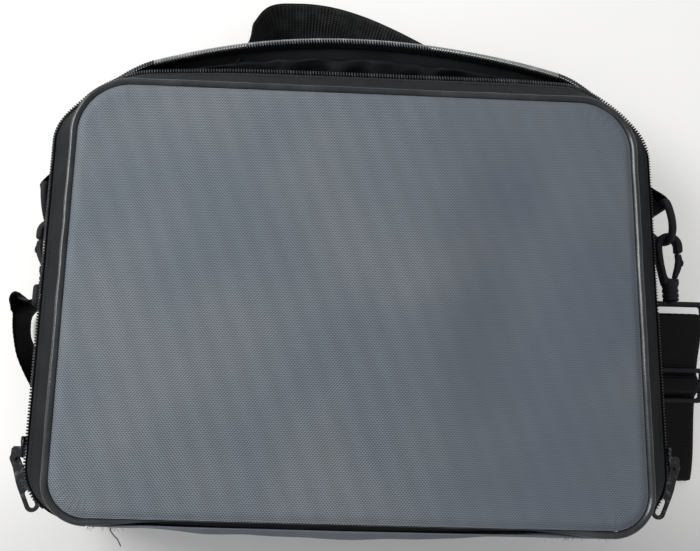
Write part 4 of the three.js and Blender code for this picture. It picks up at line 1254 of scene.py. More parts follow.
@dataclass(frozen=True)
class PanelCloth:
    """A padded cloth panel, sewn in at its edge. Sizes are in millimetres.

    Attributes:
        height: Height of the panel's face at its edge.
        crown: How far the middle stands out.
        facing: 1 for the front and -1 for the back.
        dents: Its hollows and swellings.
        roll: The width of the edge that turns down into the seam.
        sink: How deep the edge goes.
    """

    height: float
    crown: float
    facing: float
    dents: tuple[Dent, ...]
    roll: float = 7.0
    sink: float = 1.9

    # How far the pad's flat underside lies behind its edge.
    UNDERSIDE = 3.4

    def build(self, name: str) -> Piece:
        """Returns the panel's cloth as a closed pad."""
        u = np.linspace(0, FORM.STATIONS, 420, endpoint=False)
        place, normal = FORM.seam(u, self.height) * at_mm(1, 1, 0), FORM.normal(u)
        edge_gap = FORM.piping / 2 + 0.35
        near = np.concatenate([[0, 0.35, 0.9, 1.6, 2.5, 3.6, 5, 6.5], np.linspace(8.5, 19.5, 8)])
        rings = [place - normal * (edge_gap + d) for d in near]
        inner = rings[-1]
        rings += [inner * share for share in np.linspace(1, 0, 46)[1:-1]]
        grid = np.array(rings)
        x, y = grid[..., 0], grid[..., 1]
        reach = np.concatenate([near, np.linspace(22, 60, 44)])[:, None] * np.ones(len(u))
        extent = np.maximum(np.abs(x) / FORM.panel_width, np.abs(y) / FORM.panel_length) * 2
        round_extent = np.hypot(x / FORM.panel_width, y / FORM.panel_length) * 2
        dome = 1 - np.clip(0.5 * extent + 0.5 * round_extent, 0, 1) ** 2.6
        rise = self.crown * dome - self.sink * (1 - eased(reach, 0, self.roll)) ** 2
        rise += sum(dent.lift(x, y) for dent in self.dents) * eased(reach, 1, 22)
        rise += 0.35 * clouded(x, y, 26, 3.0 + self.facing) * eased(reach, 3, 25)
        pucker = np.sin(u * 2 * np.pi * 1.9) * np.sin(u * 2 * np.pi * 0.77 + 1)
        rise += 0.22 * pucker[None, :] * eased(reach, 1, 4) * (1 - eased(reach, 6, 16))
        grid[..., 2] = self.height + self.facing * rise
        rim = grid[0].copy()
        rim[:, 2] = self.height - self.facing * self.UNDERSIDE
        middle = np.array([[0, 0, grid[-1, :, 2].mean()]])
        points = np.concatenate([rim[None], grid]).reshape(-1, 3)
        points = np.concatenate([points, middle, [[0, 0, self.height - self.facing * self.UNDERSIDE]]]) * MM
        rows, columns = grid.shape[0] + 1, len(u)
        faces = [(i * columns + j, i * columns + (j + 1) % columns, (i + 1) * columns + (j + 1) % columns,
                  (i + 1) * columns + j) for i in range(rows - 1) for j in range(columns)]
        tip, foot = rows * columns, rows * columns + 1
        inmost = (rows - 1) * columns
        faces += [(inmost + j, inmost + (j + 1) % columns, tip) for j in range(columns)]
        faces += [((j + 1) % columns, j, foot) for j in range(columns)]
        made = mesh_object(name, points, faces)
        uv = made.data.uv_layers.new(name="metres")
        order = np.zeros(len(made.data.loops), np.int32)
        made.data.loops.foreach_get("vertex_index", order)
        uv.data.foreach_set("uv", points[order][:, :2].astype(np.float32).ravel())
        return face_outwards(made)


class PipedPanels:
    """The two padded panels and the piping round each."""

    FRONT_DENTS = (
        Dent(98, -20, 34, 100, -5, -4.2),
        Dent(52, 10, 34, 90, 6, 1.4),
        Dent(146, 0, 24, 90, -4, 0.8),
        Dent(120, 92, 46, 22, 8, -0.7),
        Dent(-30, -40, 60, 60, 0, 0.8),
        Dent(-118, -62, 40, 52, 12, 0.7),
        Dent(-140, 60, 26, 60, 0, -0.7),
        Dent(-40, 96, 90, 18, 3, -0.6),
        Dent(10, -104, 110, 14, -2, -0.8),
    )
    # Along the base the front cord is flat: stations where that starts and ends, and how far it is drawn in.
    FLAT_START = (CaseForm.BASE_START - 0.2, CaseForm.BASE_START + 1.3)
    FLAT_END = (48.6, CaseForm.STATIONS - 0.1)
    DROP = 2.0
    DRAWN_IN = 2.3
    FLATNESS = 0.72
    # The cord's own radius as a share of the piping's, and how far its flange reaches in.
    CORD = 0.84
    FLANGE = 0.5

    def build(self) -> None:
        """Builds the panels and the piping."""
        half = FORM.panel_thickness / 2
        front = PanelCloth(FORM.front_z + half, 3.2, 1, self.FRONT_DENTS).build("front_panel_cloth")
        settle(front, TWILL, Body.LID, Slot.TWILL, "front_panel")
        # The back panel lies on the floor's strap, so it stays as flat as its solid.
        back = PanelCloth(FORM.back_z - half, 0.3, -1, (), sink=1.2).build("back_panel_cloth")
        settle(back, BACK_CLOTH, Body.CASE, Slot.CLOTH, "back_panel")
        sides = ("front", FORM.front_z, 1, Body.LID), ("back", FORM.back_z, -1, Body.CASE)
        for name, height, facing, body in sides:
            tube = self.piping(f"{name}_piping_tube", height, facing)
            settle(tube, VINYL, body, Slot.PIPING, f"{name}_piping")

    def piping(self, name: str, height: float, facing: float) -> Piece:
        """Returns one round of piping: a soft cord that flattens along the base, with its sewn-in flange."""
        u = stations(0, FORM.STATIONS, 1.7)[:-1]
        path = FORM.seam(u, height)
        normal = FORM.normal(u)
        along_base = eased(u, *self.FLAT_START) * (1 - eased(u, *self.FLAT_END)) * (facing > 0)
        path = path - (UP * self.DROP + normal * self.DRAWN_IN) * along_base[:, None]
        wobble = clouded(path[:, 0], path[:, 1], 17, height)
        path = path + normal * (0.3 * wobble)[:, None]
        radius = self.CORD * FORM.piping / 2 * (1 - self.FLATNESS * along_base) * (1 + 0.05 * wobble)

        def section(k: int) -> Array:
            """Returns the cord's circle, drawn in on its inner side to a thin flange."""
            ring = circle(1, 18) * radius[k]
            inner = np.clip(-ring[:, 0] / radius[k] - 0.55, 0, 1) * 2.2
            ring[:, 0] -= inner * self.FLANGE
            ring[:, 1] *= 1 - 0.55 * np.clip(inner, 0, 1)
            return ring * MM

        return swept(name, path * MM, normal, section, closed=True)


class Walls:
    """The two gussets and the base cloth."""

    def build(self) -> None:
        """Builds the walls."""
        self.gusset("body_gusset_cloth", FORM.body_wall, Body.CASE, "body_gusset", 5.0)
        self.gusset("lid_gusset_cloth", FORM.lid_wall, Body.LID, "lid_gusset", 9.0)
        self.base()

    def gusset(self, name: str, wall: Callable, body: Body, node: str, seed: float) -> None:
        """Builds one gusset with its creases and the stitches beside its zip tape.

        Args:
            name: The piece's name.
            wall: The form's function for this wall.
            body: The body that it rides on.
            node: The CAD node that it replaces.
            seed: Picks its creases.
        """
        u = stations(0.02, FORM.BASE_START - 0.02, 2.2)
        t = np.linspace(0, 1, 26 if body is Body.CASE else 9)
        face = wall(*crossed(u, t))
        normal = FORM.normal(u)[:, None, :] + 0 * face
        hold = (np.minimum(eased(t, 0, 0.2), 1 - eased(t, 0.86, 1)))[None, :, None]
        deep, size = (1.5, 34) if body is Body.CASE else (0.35, 16)
        face = face + (crumple(face * MM, normal, size, deep, seed) / MM - face) * hold
        if body is Body.CASE:
            # Long soft folds that fan down from the open mouth.
            share = FORM.share(u)[:, None, None]
            fold = np.sin(u * 3.1)[:, None, None] * np.sin(np.pi * t)[None, :, None]
            face = face + normal * fold * share * 1.1
        settle(cloth_shell(name, face, FORM.cloth), GUSSET_CLOTH, body, Slot.CLOTH, node)
        seam = 1.8 / 60 if body is Body.CASE else 0.22
        at = np.full(u.shape, 1 - seam if body is Body.CASE else seam)
        line = wall(u, at)
        inside = (u > 2.5) & (u < 39.5)
        thread = STITCHES.sew(f"{name}_stitches", line[inside], FORM.normal(u)[inside])
        settle(thread, BLACK_THREAD, body, Slot.CLOTH)

    def base(self) -> None:
        """Builds the one cloth that joins case and lid along the base, which is also the hinge."""
        u = stations(FORM.BASE_START + 0.06, FORM.STATIONS - 0.06, 2.4)
        low, high = np.linspace(0, 1, 16), np.linspace(0, 1, 7)
        lower = FORM.body_wall(*crossed(u, low))
        upper = FORM.lid_wall(*crossed(u, high))
        ends = np.stack([lower[:, -1], upper[:, 0]], 1)
        between = ends[:, :1] + (ends[:, 1:] - ends[:, :1]) * np.linspace(0, 1, 12)[1:-1][None, :, None]
        face = np.concatenate([lower, between, upper], 1)
        t = np.linspace(0, 1, face.shape[1])
        normal = FORM.normal(u)[:, None, :] + 0 * face
        hold = np.minimum(eased(t, 0, 0.12), 1 - eased(t, 0.9, 1))[None, :, None]
        face = face + (crumple(face * MM, normal, 30, 1.6, 2.0) / MM - face) * hold
        groove = np.exp(-(((face[..., 2] - FORM.zip_z) / 3.0) ** 2))[..., None]
        face = face - normal * groove * 1.0
        made = cloth_shell("base_cloth", face, FORM.cloth)
        made.data.materials.append(TWILL.build())
        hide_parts("body_base_wall", "lid_base_wall")
        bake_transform(made)


class Zip:
    """The two tapes with their stitches, and the two rows of coil."""

    PITCH = 1.9
    START = 3.0
    END = 39.0
    # The tape ends this far behind the tips, and the teeth grip it from both faces.
    TAPE_END = 1.9
    # Places behind the line of the row, in millimetres: the stitches, and a tooth's root and tip.
    SEAM = -3.5
    ROOT = -1.65
    TIP = -0.4

    def build(self) -> None:
        """Builds both sides of the zip."""
        for name, place, body in (("body", FORM.on_body, Body.CASE), ("lid", FORM.on_lid, Body.LID)):
            self.tape(name, place, body)
            self.coil(name, place, body)

    def tape(self, name: str, place: Callable, body: Body) -> None:
        """Builds one tape and the row of stitches that holds the coil to it."""
        u = stations(0.05, FORM.BASE_START - 0.05, 2.0)
        back, front = -FORM.tape_thickness - FORM.gap, -FORM.gap
        root = FORM.tape_width + 0 * u
        if body is Body.LID:
            root = FORM.lid_lap + 0.3 + 1.0 * (1 - FORM.slack(u))
        share = np.linspace(0, 1, 7)
        ring = [(front, t) for t in share] + [(back, t) for t in share[::-1]]
        grid = np.stack([place(u, a + 0 * u, (root - self.TAPE_END) * t - root) for a, t in ring], 1)
        made = face_outwards(grid_object(f"{name}_tape", grid * MM, False, True, caps=True))
        settle(made, TAPE, body, Slot.TAPE, f"{name}_zip_tape")
        inside = stations(self.START, self.END, 1.6)
        seam = self.SEAM + 0 * inside
        line = place(inside, back + 0 * inside, seam)
        out = place(inside, back - 1 + 0 * inside, seam) - line
        settle(STITCHES.sew(f"{name}_tape_stitches", line, out), BLACK_THREAD, body, Slot.TAPE)

    def coil(self, name: str, place: Callable, body: Body) -> None:
        """Builds one row of teeth at the real pitch of 1.9 mm: slanted legs, and heads that nearly meet."""
        u = stations(self.START, self.END, self.PITCH)
        spot = lambda out, up: place(u, out + 0 * u, up + 0 * u)
        side, towards = unit(spot(1.0, 0.0) - spot(0.0, 0.0)), unit(spot(0.0, 0.0) - spot(0.0, -1.0))
        middle = 0.35 - 0.95 * FORM.share(u)
        root, tip = spot(middle, self.ROOT), spot(middle, self.TIP)
        along = unit(np.gradient(root, axis=0))
        leg = np.stack([towards * 3.0 + along * 0.9, along * 1.0, side * 3.9], 1) * MM
        head = np.stack([towards * 1.0, along * (2.1 if body is Body.CASE else 1.5), side * 3.3], 1) * MM
        # The row is painted pale where it bows up over the open mouth towards the light, a painted highlight,
        # and stays darker along the closed sides.
        bowed = (FORM.share(u) > 0.3) & (body is Body.CASE)
        for part, rows, finish in (("bow", bowed, PAINTED_HIGHLIGHT_COIL), ("sides", ~bowed, COIL)):
            if rows.any():
                legs = scattered(f"{name}_{part}_legs", pebble(5, 8, 0.8), root[rows] * MM, leg[rows])
                heads = scattered(f"{name}_{part}_heads", pebble(5, 8, 0.75), tip[rows] * MM, head[rows])
                row = joined(f"{name}_coil_{part}", [legs, heads])
                settle(row, finish, body, Slot.PLASTIC, f"{name}_zip_teeth")


@dataclass(frozen=True)
class SliderShape:
    """A die-cast zip slider and its pull. Sizes are in millimetres.

    Attributes:
        y: The slider's place along the side.
        outer: The outer plate's inner face, measured out from the row.
        inner: The inner plate's inner face.
        plate: The thickness of each plate.
        half: Half of its length.
        bail_x: The bail's bar, measured out from the row.
        fold: How far the pull is turned out from the side, in degrees.
    """

    y: float = -96.5
    outer: float = 2.9
    inner: float = -1.9
    plate: float = 1.2
    half: float = 6.5
    bail_x: float = 8.3
    fold: float = 25.0

    def place(self, side: int, *moves: Matrix) -> Matrix:
        """Returns the matrix from the slider's own millimetres to the part's frame."""
        return mirrored(side, (FORM.rim_edge.half_width, self.y, FORM.zip_z), *moves)

    def build(self, name: str, side: int) -> None:
        """Builds one slider and its pull."""
        standing = Matrix(((0, 0, 1, 0), (1, 0, 0, 0), (0, 1, 0, 0), (0, 0, 0, 1)))
        wide, slim, half = 5.2, 3.6, self.half
        edge = [(-half, -slim / 2), (-half + slim / 2, -slim), (-1, -slim), (half / 2, -wide),
                (half - 1, -wide), (half, -wide + 1)]
        outline = edge + [(x, -y) for x, y in edge[::-1]]
        plates = [plate(f"{name}_plate", [outline], self.plate, 0.4,
                        self.place(side, Matrix.Translation((x, 0, 0)), standing))
                  for x in (self.outer + self.plate / 2, self.inner - self.plate / 2)]
        lip = [(0, -0.7), (half - 0.6, -0.7), (half - 0.6, 0.7), (0, 0.7)]
        flange = [plate(f"{name}_flange", [lip], 1.0, 0.25,
                        self.place(side, Matrix.Translation((self.outer - 0.2, 0, z)), standing))
                  for z in (4.3, -4.3)]
        post = plate(f"{name}_post", [[(2.6, -0.9), (6.1, -0.9), (6.1, 0.9), (2.6, 0.9)]], 5.4, 0.3,
                     self.place(side, Matrix.Translation((0.7, 0, 0)), standing))
        arm = [(3.5, 0.4), (3.5, -6.1), (6.7, -6.2), (7.1, -7.9), (8.3, -8.4), (9.5, -7.9), (10.1, -6.5),
               (10.0, -1), (8.6, 0.5)]
        arms = [plate(f"{name}_arm", [arm], 1.7, 0.45, self.place(side, Matrix.Translation((0, 0, z))))
                for z in (1.95, -1.95)]
        across = self.place(side, Matrix.Translation((self.bail_x, -half, 0)),
                            Matrix.Rotation(math.pi / 2, 4, "X"))
        bar = turned_solid(f"{name}_bar", [(0, -2), (0.8, -2), (0.8, 2), (0, 2)], across, 16)
        whole = face_outwards(joined(f"{name}_slider_casting", plates + flange + [post, *arms, bar]))
        settle(whole, ENAMEL, f"{name}_slider", Slot.METAL, f"{name}_slider")
        self.pull(name, side)

    def pull(self, name: str, side: int) -> None:
        """Builds the pull, with its eye round the bail and the long hole near its end."""
        turn = Matrix.Rotation(math.radians(-self.fold), 4, "Z")
        here = self.place(side, Matrix.Translation((self.bail_x, -self.half, 0)), turn)
        outline = arc_points(0, 0, 3, 0, 180, 12) + [(-3, -5), (-3.4, -8), (-4.3, -14), (-4.5, -18)]
        outline += arc_points(0, -30.5, 4.5, 180, 360, 16) + [(4.5, -18), (4.3, -14), (3.4, -8), (3, -5)]
        eye = arc_points(0, 0, 1.2, 0, 330, 11)
        hole = arc_points(0, -23.3, 1.9, 0, 180, 8) + arc_points(0, -30.5, 1.9, 180, 360, 8)
        blade = plate(f"{name}_blade", [outline, eye, hole], 1.5, 0.42, here)
        ribs = [[(-2.4, y), (2.4, y), (2.1, y + 0.7), (-2.1, y + 0.7)] for y in (-19.4, -17.6, -15.8)]
        ridge = [plate(f"{name}_ridge", [rib], 2.1, 0.25, here) for rib in ribs]
        whole = face_outwards(joined(f"{name}_pull_tab", [blade, *ridge]))
        settle(whole, ENAMEL, f"{name}_pull", Slot.METAL, f"{name}_pull")


class Inside:
    """The lining that shows through the open mouth, and the lining of the lid."""

    # A sheet has this many rings, from the foot of its lining's wall to its middle.
    RINGS = 14
    # The tub's places inside the wall and over the seam's foot, and the board's thickness, in millimetres.
    INSET = 6.6
    FLOOR = 5.6
    BOARD = 1.4

    def build(self) -> None:
        """Builds both linings."""
        self.tub()
        self.lid()

    def tub(self) -> None:
        """Builds the body's lining as a tub with slack folds that run down from the mouth."""
        u = stations(0, FORM.STATIONS, 2.6)[:-1]
        normal = FORM.normal(u)
        share = FORM.share(u)
        depth = np.concatenate([np.linspace(1, 0.12, 26), [0.06, 0.02]])
        wall = FORM.body_wall(*crossed(u, 0.965 * depth))
        grid = wall - normal[:, None, :] * self.INSET
        folds = np.sin(u * 4.4 + 0.6) + 0.6 * np.sin(u * 7.3 + 2)
        swing = np.sin(np.pi * np.clip(depth, 0, 1)) ** 0.7
        depths = np.maximum(0, 0.5 + folds)[:, None] * swing[None, :] * (0.8 + 2.4 * share)[:, None]
        grid = grid - normal[:, None, :] * depths[..., None]
        hang = (0.8 + 0.9 * np.sin(u * 2.7) + 0.5 * np.sin(u * 6.1 + 1)) * share
        grid[:, :3, 2] -= np.maximum(0, hang)[:, None] * np.array([1.0, 0.7, 0.3])[None, :]
        grid = crumple(grid * MM, normal[:, None, :] + 0 * grid, 13, 0.9, 4.0) / MM
        floor = FORM.seam_foot + self.FLOOR
        grid[..., 2] = np.maximum(grid[..., 2], floor)
        corner = grid[:, -1:]
        bottom = [corner * np.array([s, s, 0]) + np.array([0, 0, floor])
                  for s in np.linspace(0.97, 0, self.RINGS)]
        grid = np.concatenate([grid, *bottom], 1)
        sheet = grid[:, -self.RINGS:]
        sheet[..., 2] += 0.4 * clouded(sheet[..., 0], sheet[..., 1], 20, 7)
        made = self.double(grid, "case_lining", 0.8)
        settle(made, LINING, Body.CASE, Slot.LINING, "body_lining", "body_foam")

    def lid(self) -> None:
        """Builds the lid's lining: a skirt beside the zip and a flat sheet under the stiffener."""
        u = stations(0, FORM.STATIONS, 2.6)[:-1]
        normal = FORM.normal(u)
        top = FORM.seam_head - self.BOARD - FORM.gap * 2
        high = FORM.seam(u, top) - normal * (FORM.piping / 2 + 4.6)
        low = FORM.lid_wall(u, np.full(u.shape, 0.4)) - normal * 2.6
        skirt = [low + (high - low) * s for s in np.linspace(0, 1, 8)]
        grid = np.stack(skirt, 1)
        grid[..., 2] = np.minimum(grid[..., 2], top)
        sheet = [high * np.array([s, s, 0]) + np.array([0, 0, top - 0.3])
                 for s in np.linspace(0.97, 0, self.RINGS)]
        grid = np.concatenate([grid, np.stack(sheet, 1)], 1)
        sheet = grid[:, -self.RINGS:]
        sheet[..., 2] -= 0.5 * np.abs(clouded(sheet[..., 0], sheet[..., 1], 26, 1))
        made = self.double(grid, "lid_lining_cloth", -0.8)
        settle(made, LINING, Body.LID, Slot.LINING, "lid_lining")

    def double(self, grid: Array, name: str, thickness: float) -> Piece:
        """Returns a dish-shaped cloth with a thickness. Its last ring is welded to one point."""
        made = grid_object(name, grid * MM, True, False)
        made.modifiers.new("middle", "WELD").merge_threshold = 0.01 * MM
        solid = made.modifiers.new("thickness", "SOLIDIFY")
        solid.thickness = thickness * MM
        solid.offset = 0
        return applied(made)


# Webbing


@dataclass(frozen=True)
class Route:
    """Stations of a strip of webbing, in millimetres.

    Attributes:
        centres: The middle of the webbing at each station.
        halves: From the middle to one edge at each station.
    """

    centres: Array
    halves: Array

    def fine(self, step: float) -> "Route":
        """Returns the same route as a smooth curve with stations at an even step."""
        steps = np.maximum(np.linalg.norm(np.diff(self.centres, axis=0), axis=1), 0.5)
        marks = np.concatenate([[0], np.cumsum(steps)])
        count = max(4, round(marks[-1] / step))
        at = np.linspace(0, marks[-1], count + 1)
        return Route(smoothed(self.centres, marks, at), smoothed(self.halves, marks, at))


@dataclass(frozen=True)
class Webbing:
    """Ribbed webbing. Sizes are in millimetres.

    Attributes:
        width: Its width.
        thickness: Its thickness over the ribs.
        pitch: From one rib to the next.
        relief: How deep the grooves between ribs are.
    """

    width: float = 38.0
    thickness: float = 2.0
    pitch: float = 2.4
    relief: float = 0.42

    # Stitches sit this share of the thickness out from the webbing's middle.
    STITCH_SEAT = 0.42

    def weave(self, name: str, route: Route, wobble: float = 0.25) -> Piece:
        """Weaves webbing along a route, with its ribs as real shape.

        Args:
            name: The piece's name.
            route: Its stations; the ribs are drawn on a finer set.
            wobble: How far its face wanders.

        Returns:
            The linked object, closed all round.
        """
        fine = route.fine(self.pitch / 4)
        centre, half = fine.centres, fine.halves
        along = unit(np.gradient(centre, axis=0))
        across = half - (half * along).sum(1, keepdims=True) * along
        across = unit(across) * np.linalg.norm(half, axis=1, keepdims=True)
        out = unit(np.cross(along, across))
        # Nothing sinks into the floor where the strip lies or stands on it.
        lowest = centre[:, 2] - np.abs(across[:, 2]) - (self.thickness / 2 - 0.1) * np.abs(out[:, 2])
        centre = centre + UP * np.maximum(-lowest, 0)[:, None]
        length = run_along(centre)
        columns = 16
        share = np.linspace(-1, 1, columns + 1)
        edge = 1 - 0.55 * np.abs(share) ** 14
        # Each rib is a row of short floats: neighbouring yarns rise a little before or after each other.
        phase = np.where(np.arange(columns + 1) % 2 == 0, 0.0, 0.32)
        face = []
        for side in (1, -1):
            turns = length[:, None] / self.pitch + 0.5 * (side < 0)
            wave_at = 2 * np.pi * turns + 2 * np.pi * phase[None, :]
            ribs = 0.5 + 0.5 * np.cos(wave_at)
            thick = (self.thickness / 2 - self.relief * (1 - ribs ** 0.8)) * edge
            drift = np.array([noise.noise(Vector((s / 23, 5.0 * side, 1.0))) for s in length])
            drift = wobble * drift[:, None]
            points = centre[:, None] + across[:, None] * share[None, :, None]
            face.append(points + out[:, None] * (side * thick + drift * (1 - np.abs(share)) * 0.6)[..., None])
        ring = np.concatenate([face[0], face[1][:, ::-1]], 1)
        return face_outwards(grid_object(name, ring * MM, False, True, caps=True))

    def stitch(self, name: str, route: Route, insets: Sequence[float], side: float = 1.0) -> Piece:
        """Sews lines along webbing on one face.

        Args:
            name: The piece's name.
            route: The webbing's stations.
            insets: Where the lines run, as shares of the half width.
            side: 1 for the face that the cross product of route and half faces, -1 for the other.

        Returns:
            The stitches as one object.
        """
        fine = route.fine(1.5)
        along = unit(np.gradient(fine.centres, axis=0))
        out = unit(np.cross(along, fine.halves)) * side
        face = out * self.thickness * self.STITCH_SEAT
        lines = [STITCHES.sew(f"{name}_{k}", fine.centres + fine.halves * inset + face, out)
                 for k, inset in enumerate(insets)]
        return joined(name, lines)


WEB = Webbing()


def box_stitch(name: str, corners: Sequence[Array], out: Array) -> Piece:
    """Sews a rectangle with a cross inside it, as on any load-bearing strap end.

    Args:
        name: The piece's name.
        corners: Its four corners in order, in millimetres, on the webbing's face.
        out: The face's outward direction.

    Returns:
        The stitches as one object.
    """
    pairs = [(0, 1), (1, 2), (2, 3), (3, 0), (0, 2), (1, 3)]
    lines = []
    for k, (a, b) in enumerate(pairs):
        line = corners[a] + (corners[b] - corners[a]) * np.linspace(0.01, 0.99, 24)[:, None]
        lines.append(STITCHES.sew(f"{name}_{k}", line, np.tile(out, (24, 1))))
    return joined(name, lines)


class CarryHandle:
    """The webbing handle on the top wall and the two patches that hold it down."""

    CENTRE = -2.0
    SPAN = 188.0
    PATCH = 26.0
    REACH = 46.0
    DROP = 11.0
    LEAN = 40.0
    STANDOFF = 2.6
    MIDDLE = 0.57
    # A patch reaches from one share of the wall's height to another.
    PATCH_SHARES = (0.36, 0.78)
    # Along the handle, each pair is a share of its length and a share of its full reach.
    SHARES = ((0, 0), (0.035, 0.3), (0.075, 0.72), (0.14, 0.97), (0.24, 1), (0.38, 0.95), (0.52, 0.8),
              (0.66, 0.58), (0.8, 0.32), (0.92, 0.09), (1, 0))

    def top_station(self, x: float) -> float:
        """Returns the station of the top edge at a place across the case."""
        half = FORM.rim_edge.half_width
        right, left = half - FORM.rim_corner_top_right, FORM.rim_corner_top_left - half
        return 15 + 12 * (right - x) / (right - left)

    def wall(self, u: Array, share: float, distance: float) -> tuple[Array, Array, Array]:
        """Finds places on the top wall.

        Args:
            u: Stations.
            share: From the back seam at 0 to the zip at 1.
            distance: How far to stand off the wall.

        Returns:
            The places, the outward directions, and the directions up the wall.
        """
        foot, head = (FORM.body_wall(u, np.full(u.shape, t)) for t in (0.0, 1.0))
        up = head - foot
        normal = FORM.normal(u)
        out = unit(normal * up[:, 2:] - UP * (up * normal).sum(1, keepdims=True))
        return foot + up * share + out * distance, out, unit(up * np.array([0, 1, 1]))

    def route(self) -> Route:
        """Returns the handle's route, which stands off the wall furthest near its left end."""
        inset = self.PATCH / 2 + 3.6
        ends = self.CENTRE - self.SPAN / 2 + inset, self.CENTRE + self.SPAN / 2 - inset
        share, reach = (np.array(column) for column in zip(*self.SHARES))
        x = ends[0] + (ends[1] - ends[0]) * share
        place, _, up = self.wall(self.top_station(x), self.MIDDLE, self.STANDOFF)
        lean = math.radians(self.LEAN)
        place = place + reach[:, None] * at_mm(0, self.REACH, -self.DROP)
        half = up * (1 - reach[:, None]) + at_mm(0, math.cos(lean), math.sin(lean)) * reach[:, None]
        return Route(place, unit(half) * WEB.width / 2)

    def build(self) -> None:
        """Builds the handle, its stitches and its patches."""
        route = self.route()
        made = WEB.weave("handle_webbing", route)
        settle(made, PAINTED_HIGHLIGHT_HANDLE_WEBBING, Body.HANDLE, Slot.WEBBING, "carry_handle")
        for side in (1, -1):
            face = "upper" if side > 0 else "lower"
            thread = WEB.stitch(f"handle_stitches_{face}", route, (-0.8, 0.8), side)
            settle(thread, BLACK_THREAD, Body.HANDLE, Slot.WEBBING)
        for name, side in (("left", -1), ("right", 1)):
            self.patch(name, self.CENTRE + side * self.SPAN / 2)

    def patch(self, name: str, x: float) -> None:
        """Builds one patch: the handle's end, sewn flat on the wall."""
        edges = x + np.array([1, 1 / 3, 0, -1 / 3, -1]) * self.PATCH / 2
        u = self.top_station(edges)
        (low, out, _), (high, _, _) = (self.wall(u, share, 0) for share in self.PATCH_SHARES)
        bulge = FORM.body_wall(u, np.full(u.shape, self.MIDDLE)) - self.wall(u, self.MIDDLE, 0)[0]
        lift = (bulge * out).sum(1, keepdims=True) + FORM.gap * 2 + WEB.thickness / 2
        route = Route((low + high) / 2 + out * lift, (high - low) / 2)
        made = WEB.weave(f"handle_patch_{name}_webbing", route, 0.1)
        settle(made, WEBBING, Body.CASE, Slot.WEBBING, f"handle_patch_{name}")
        face = route.centres + out * WEB.thickness * WEB.STITCH_SEAT
        corners = [face[k] + route.halves[k] * s * 0.78 for k, s in ((0, 1), (-1, 1), (-1, -1), (0, -1))]
        middle = face[2]
        corners = [middle + (c - middle) * 0.8 for c in corners]
        thread = box_stitch(f"handle_patch_{name}_stitches", corners, out[2])
        settle(thread, BLACK_THREAD, Body.CASE, Slot.WEBBING)


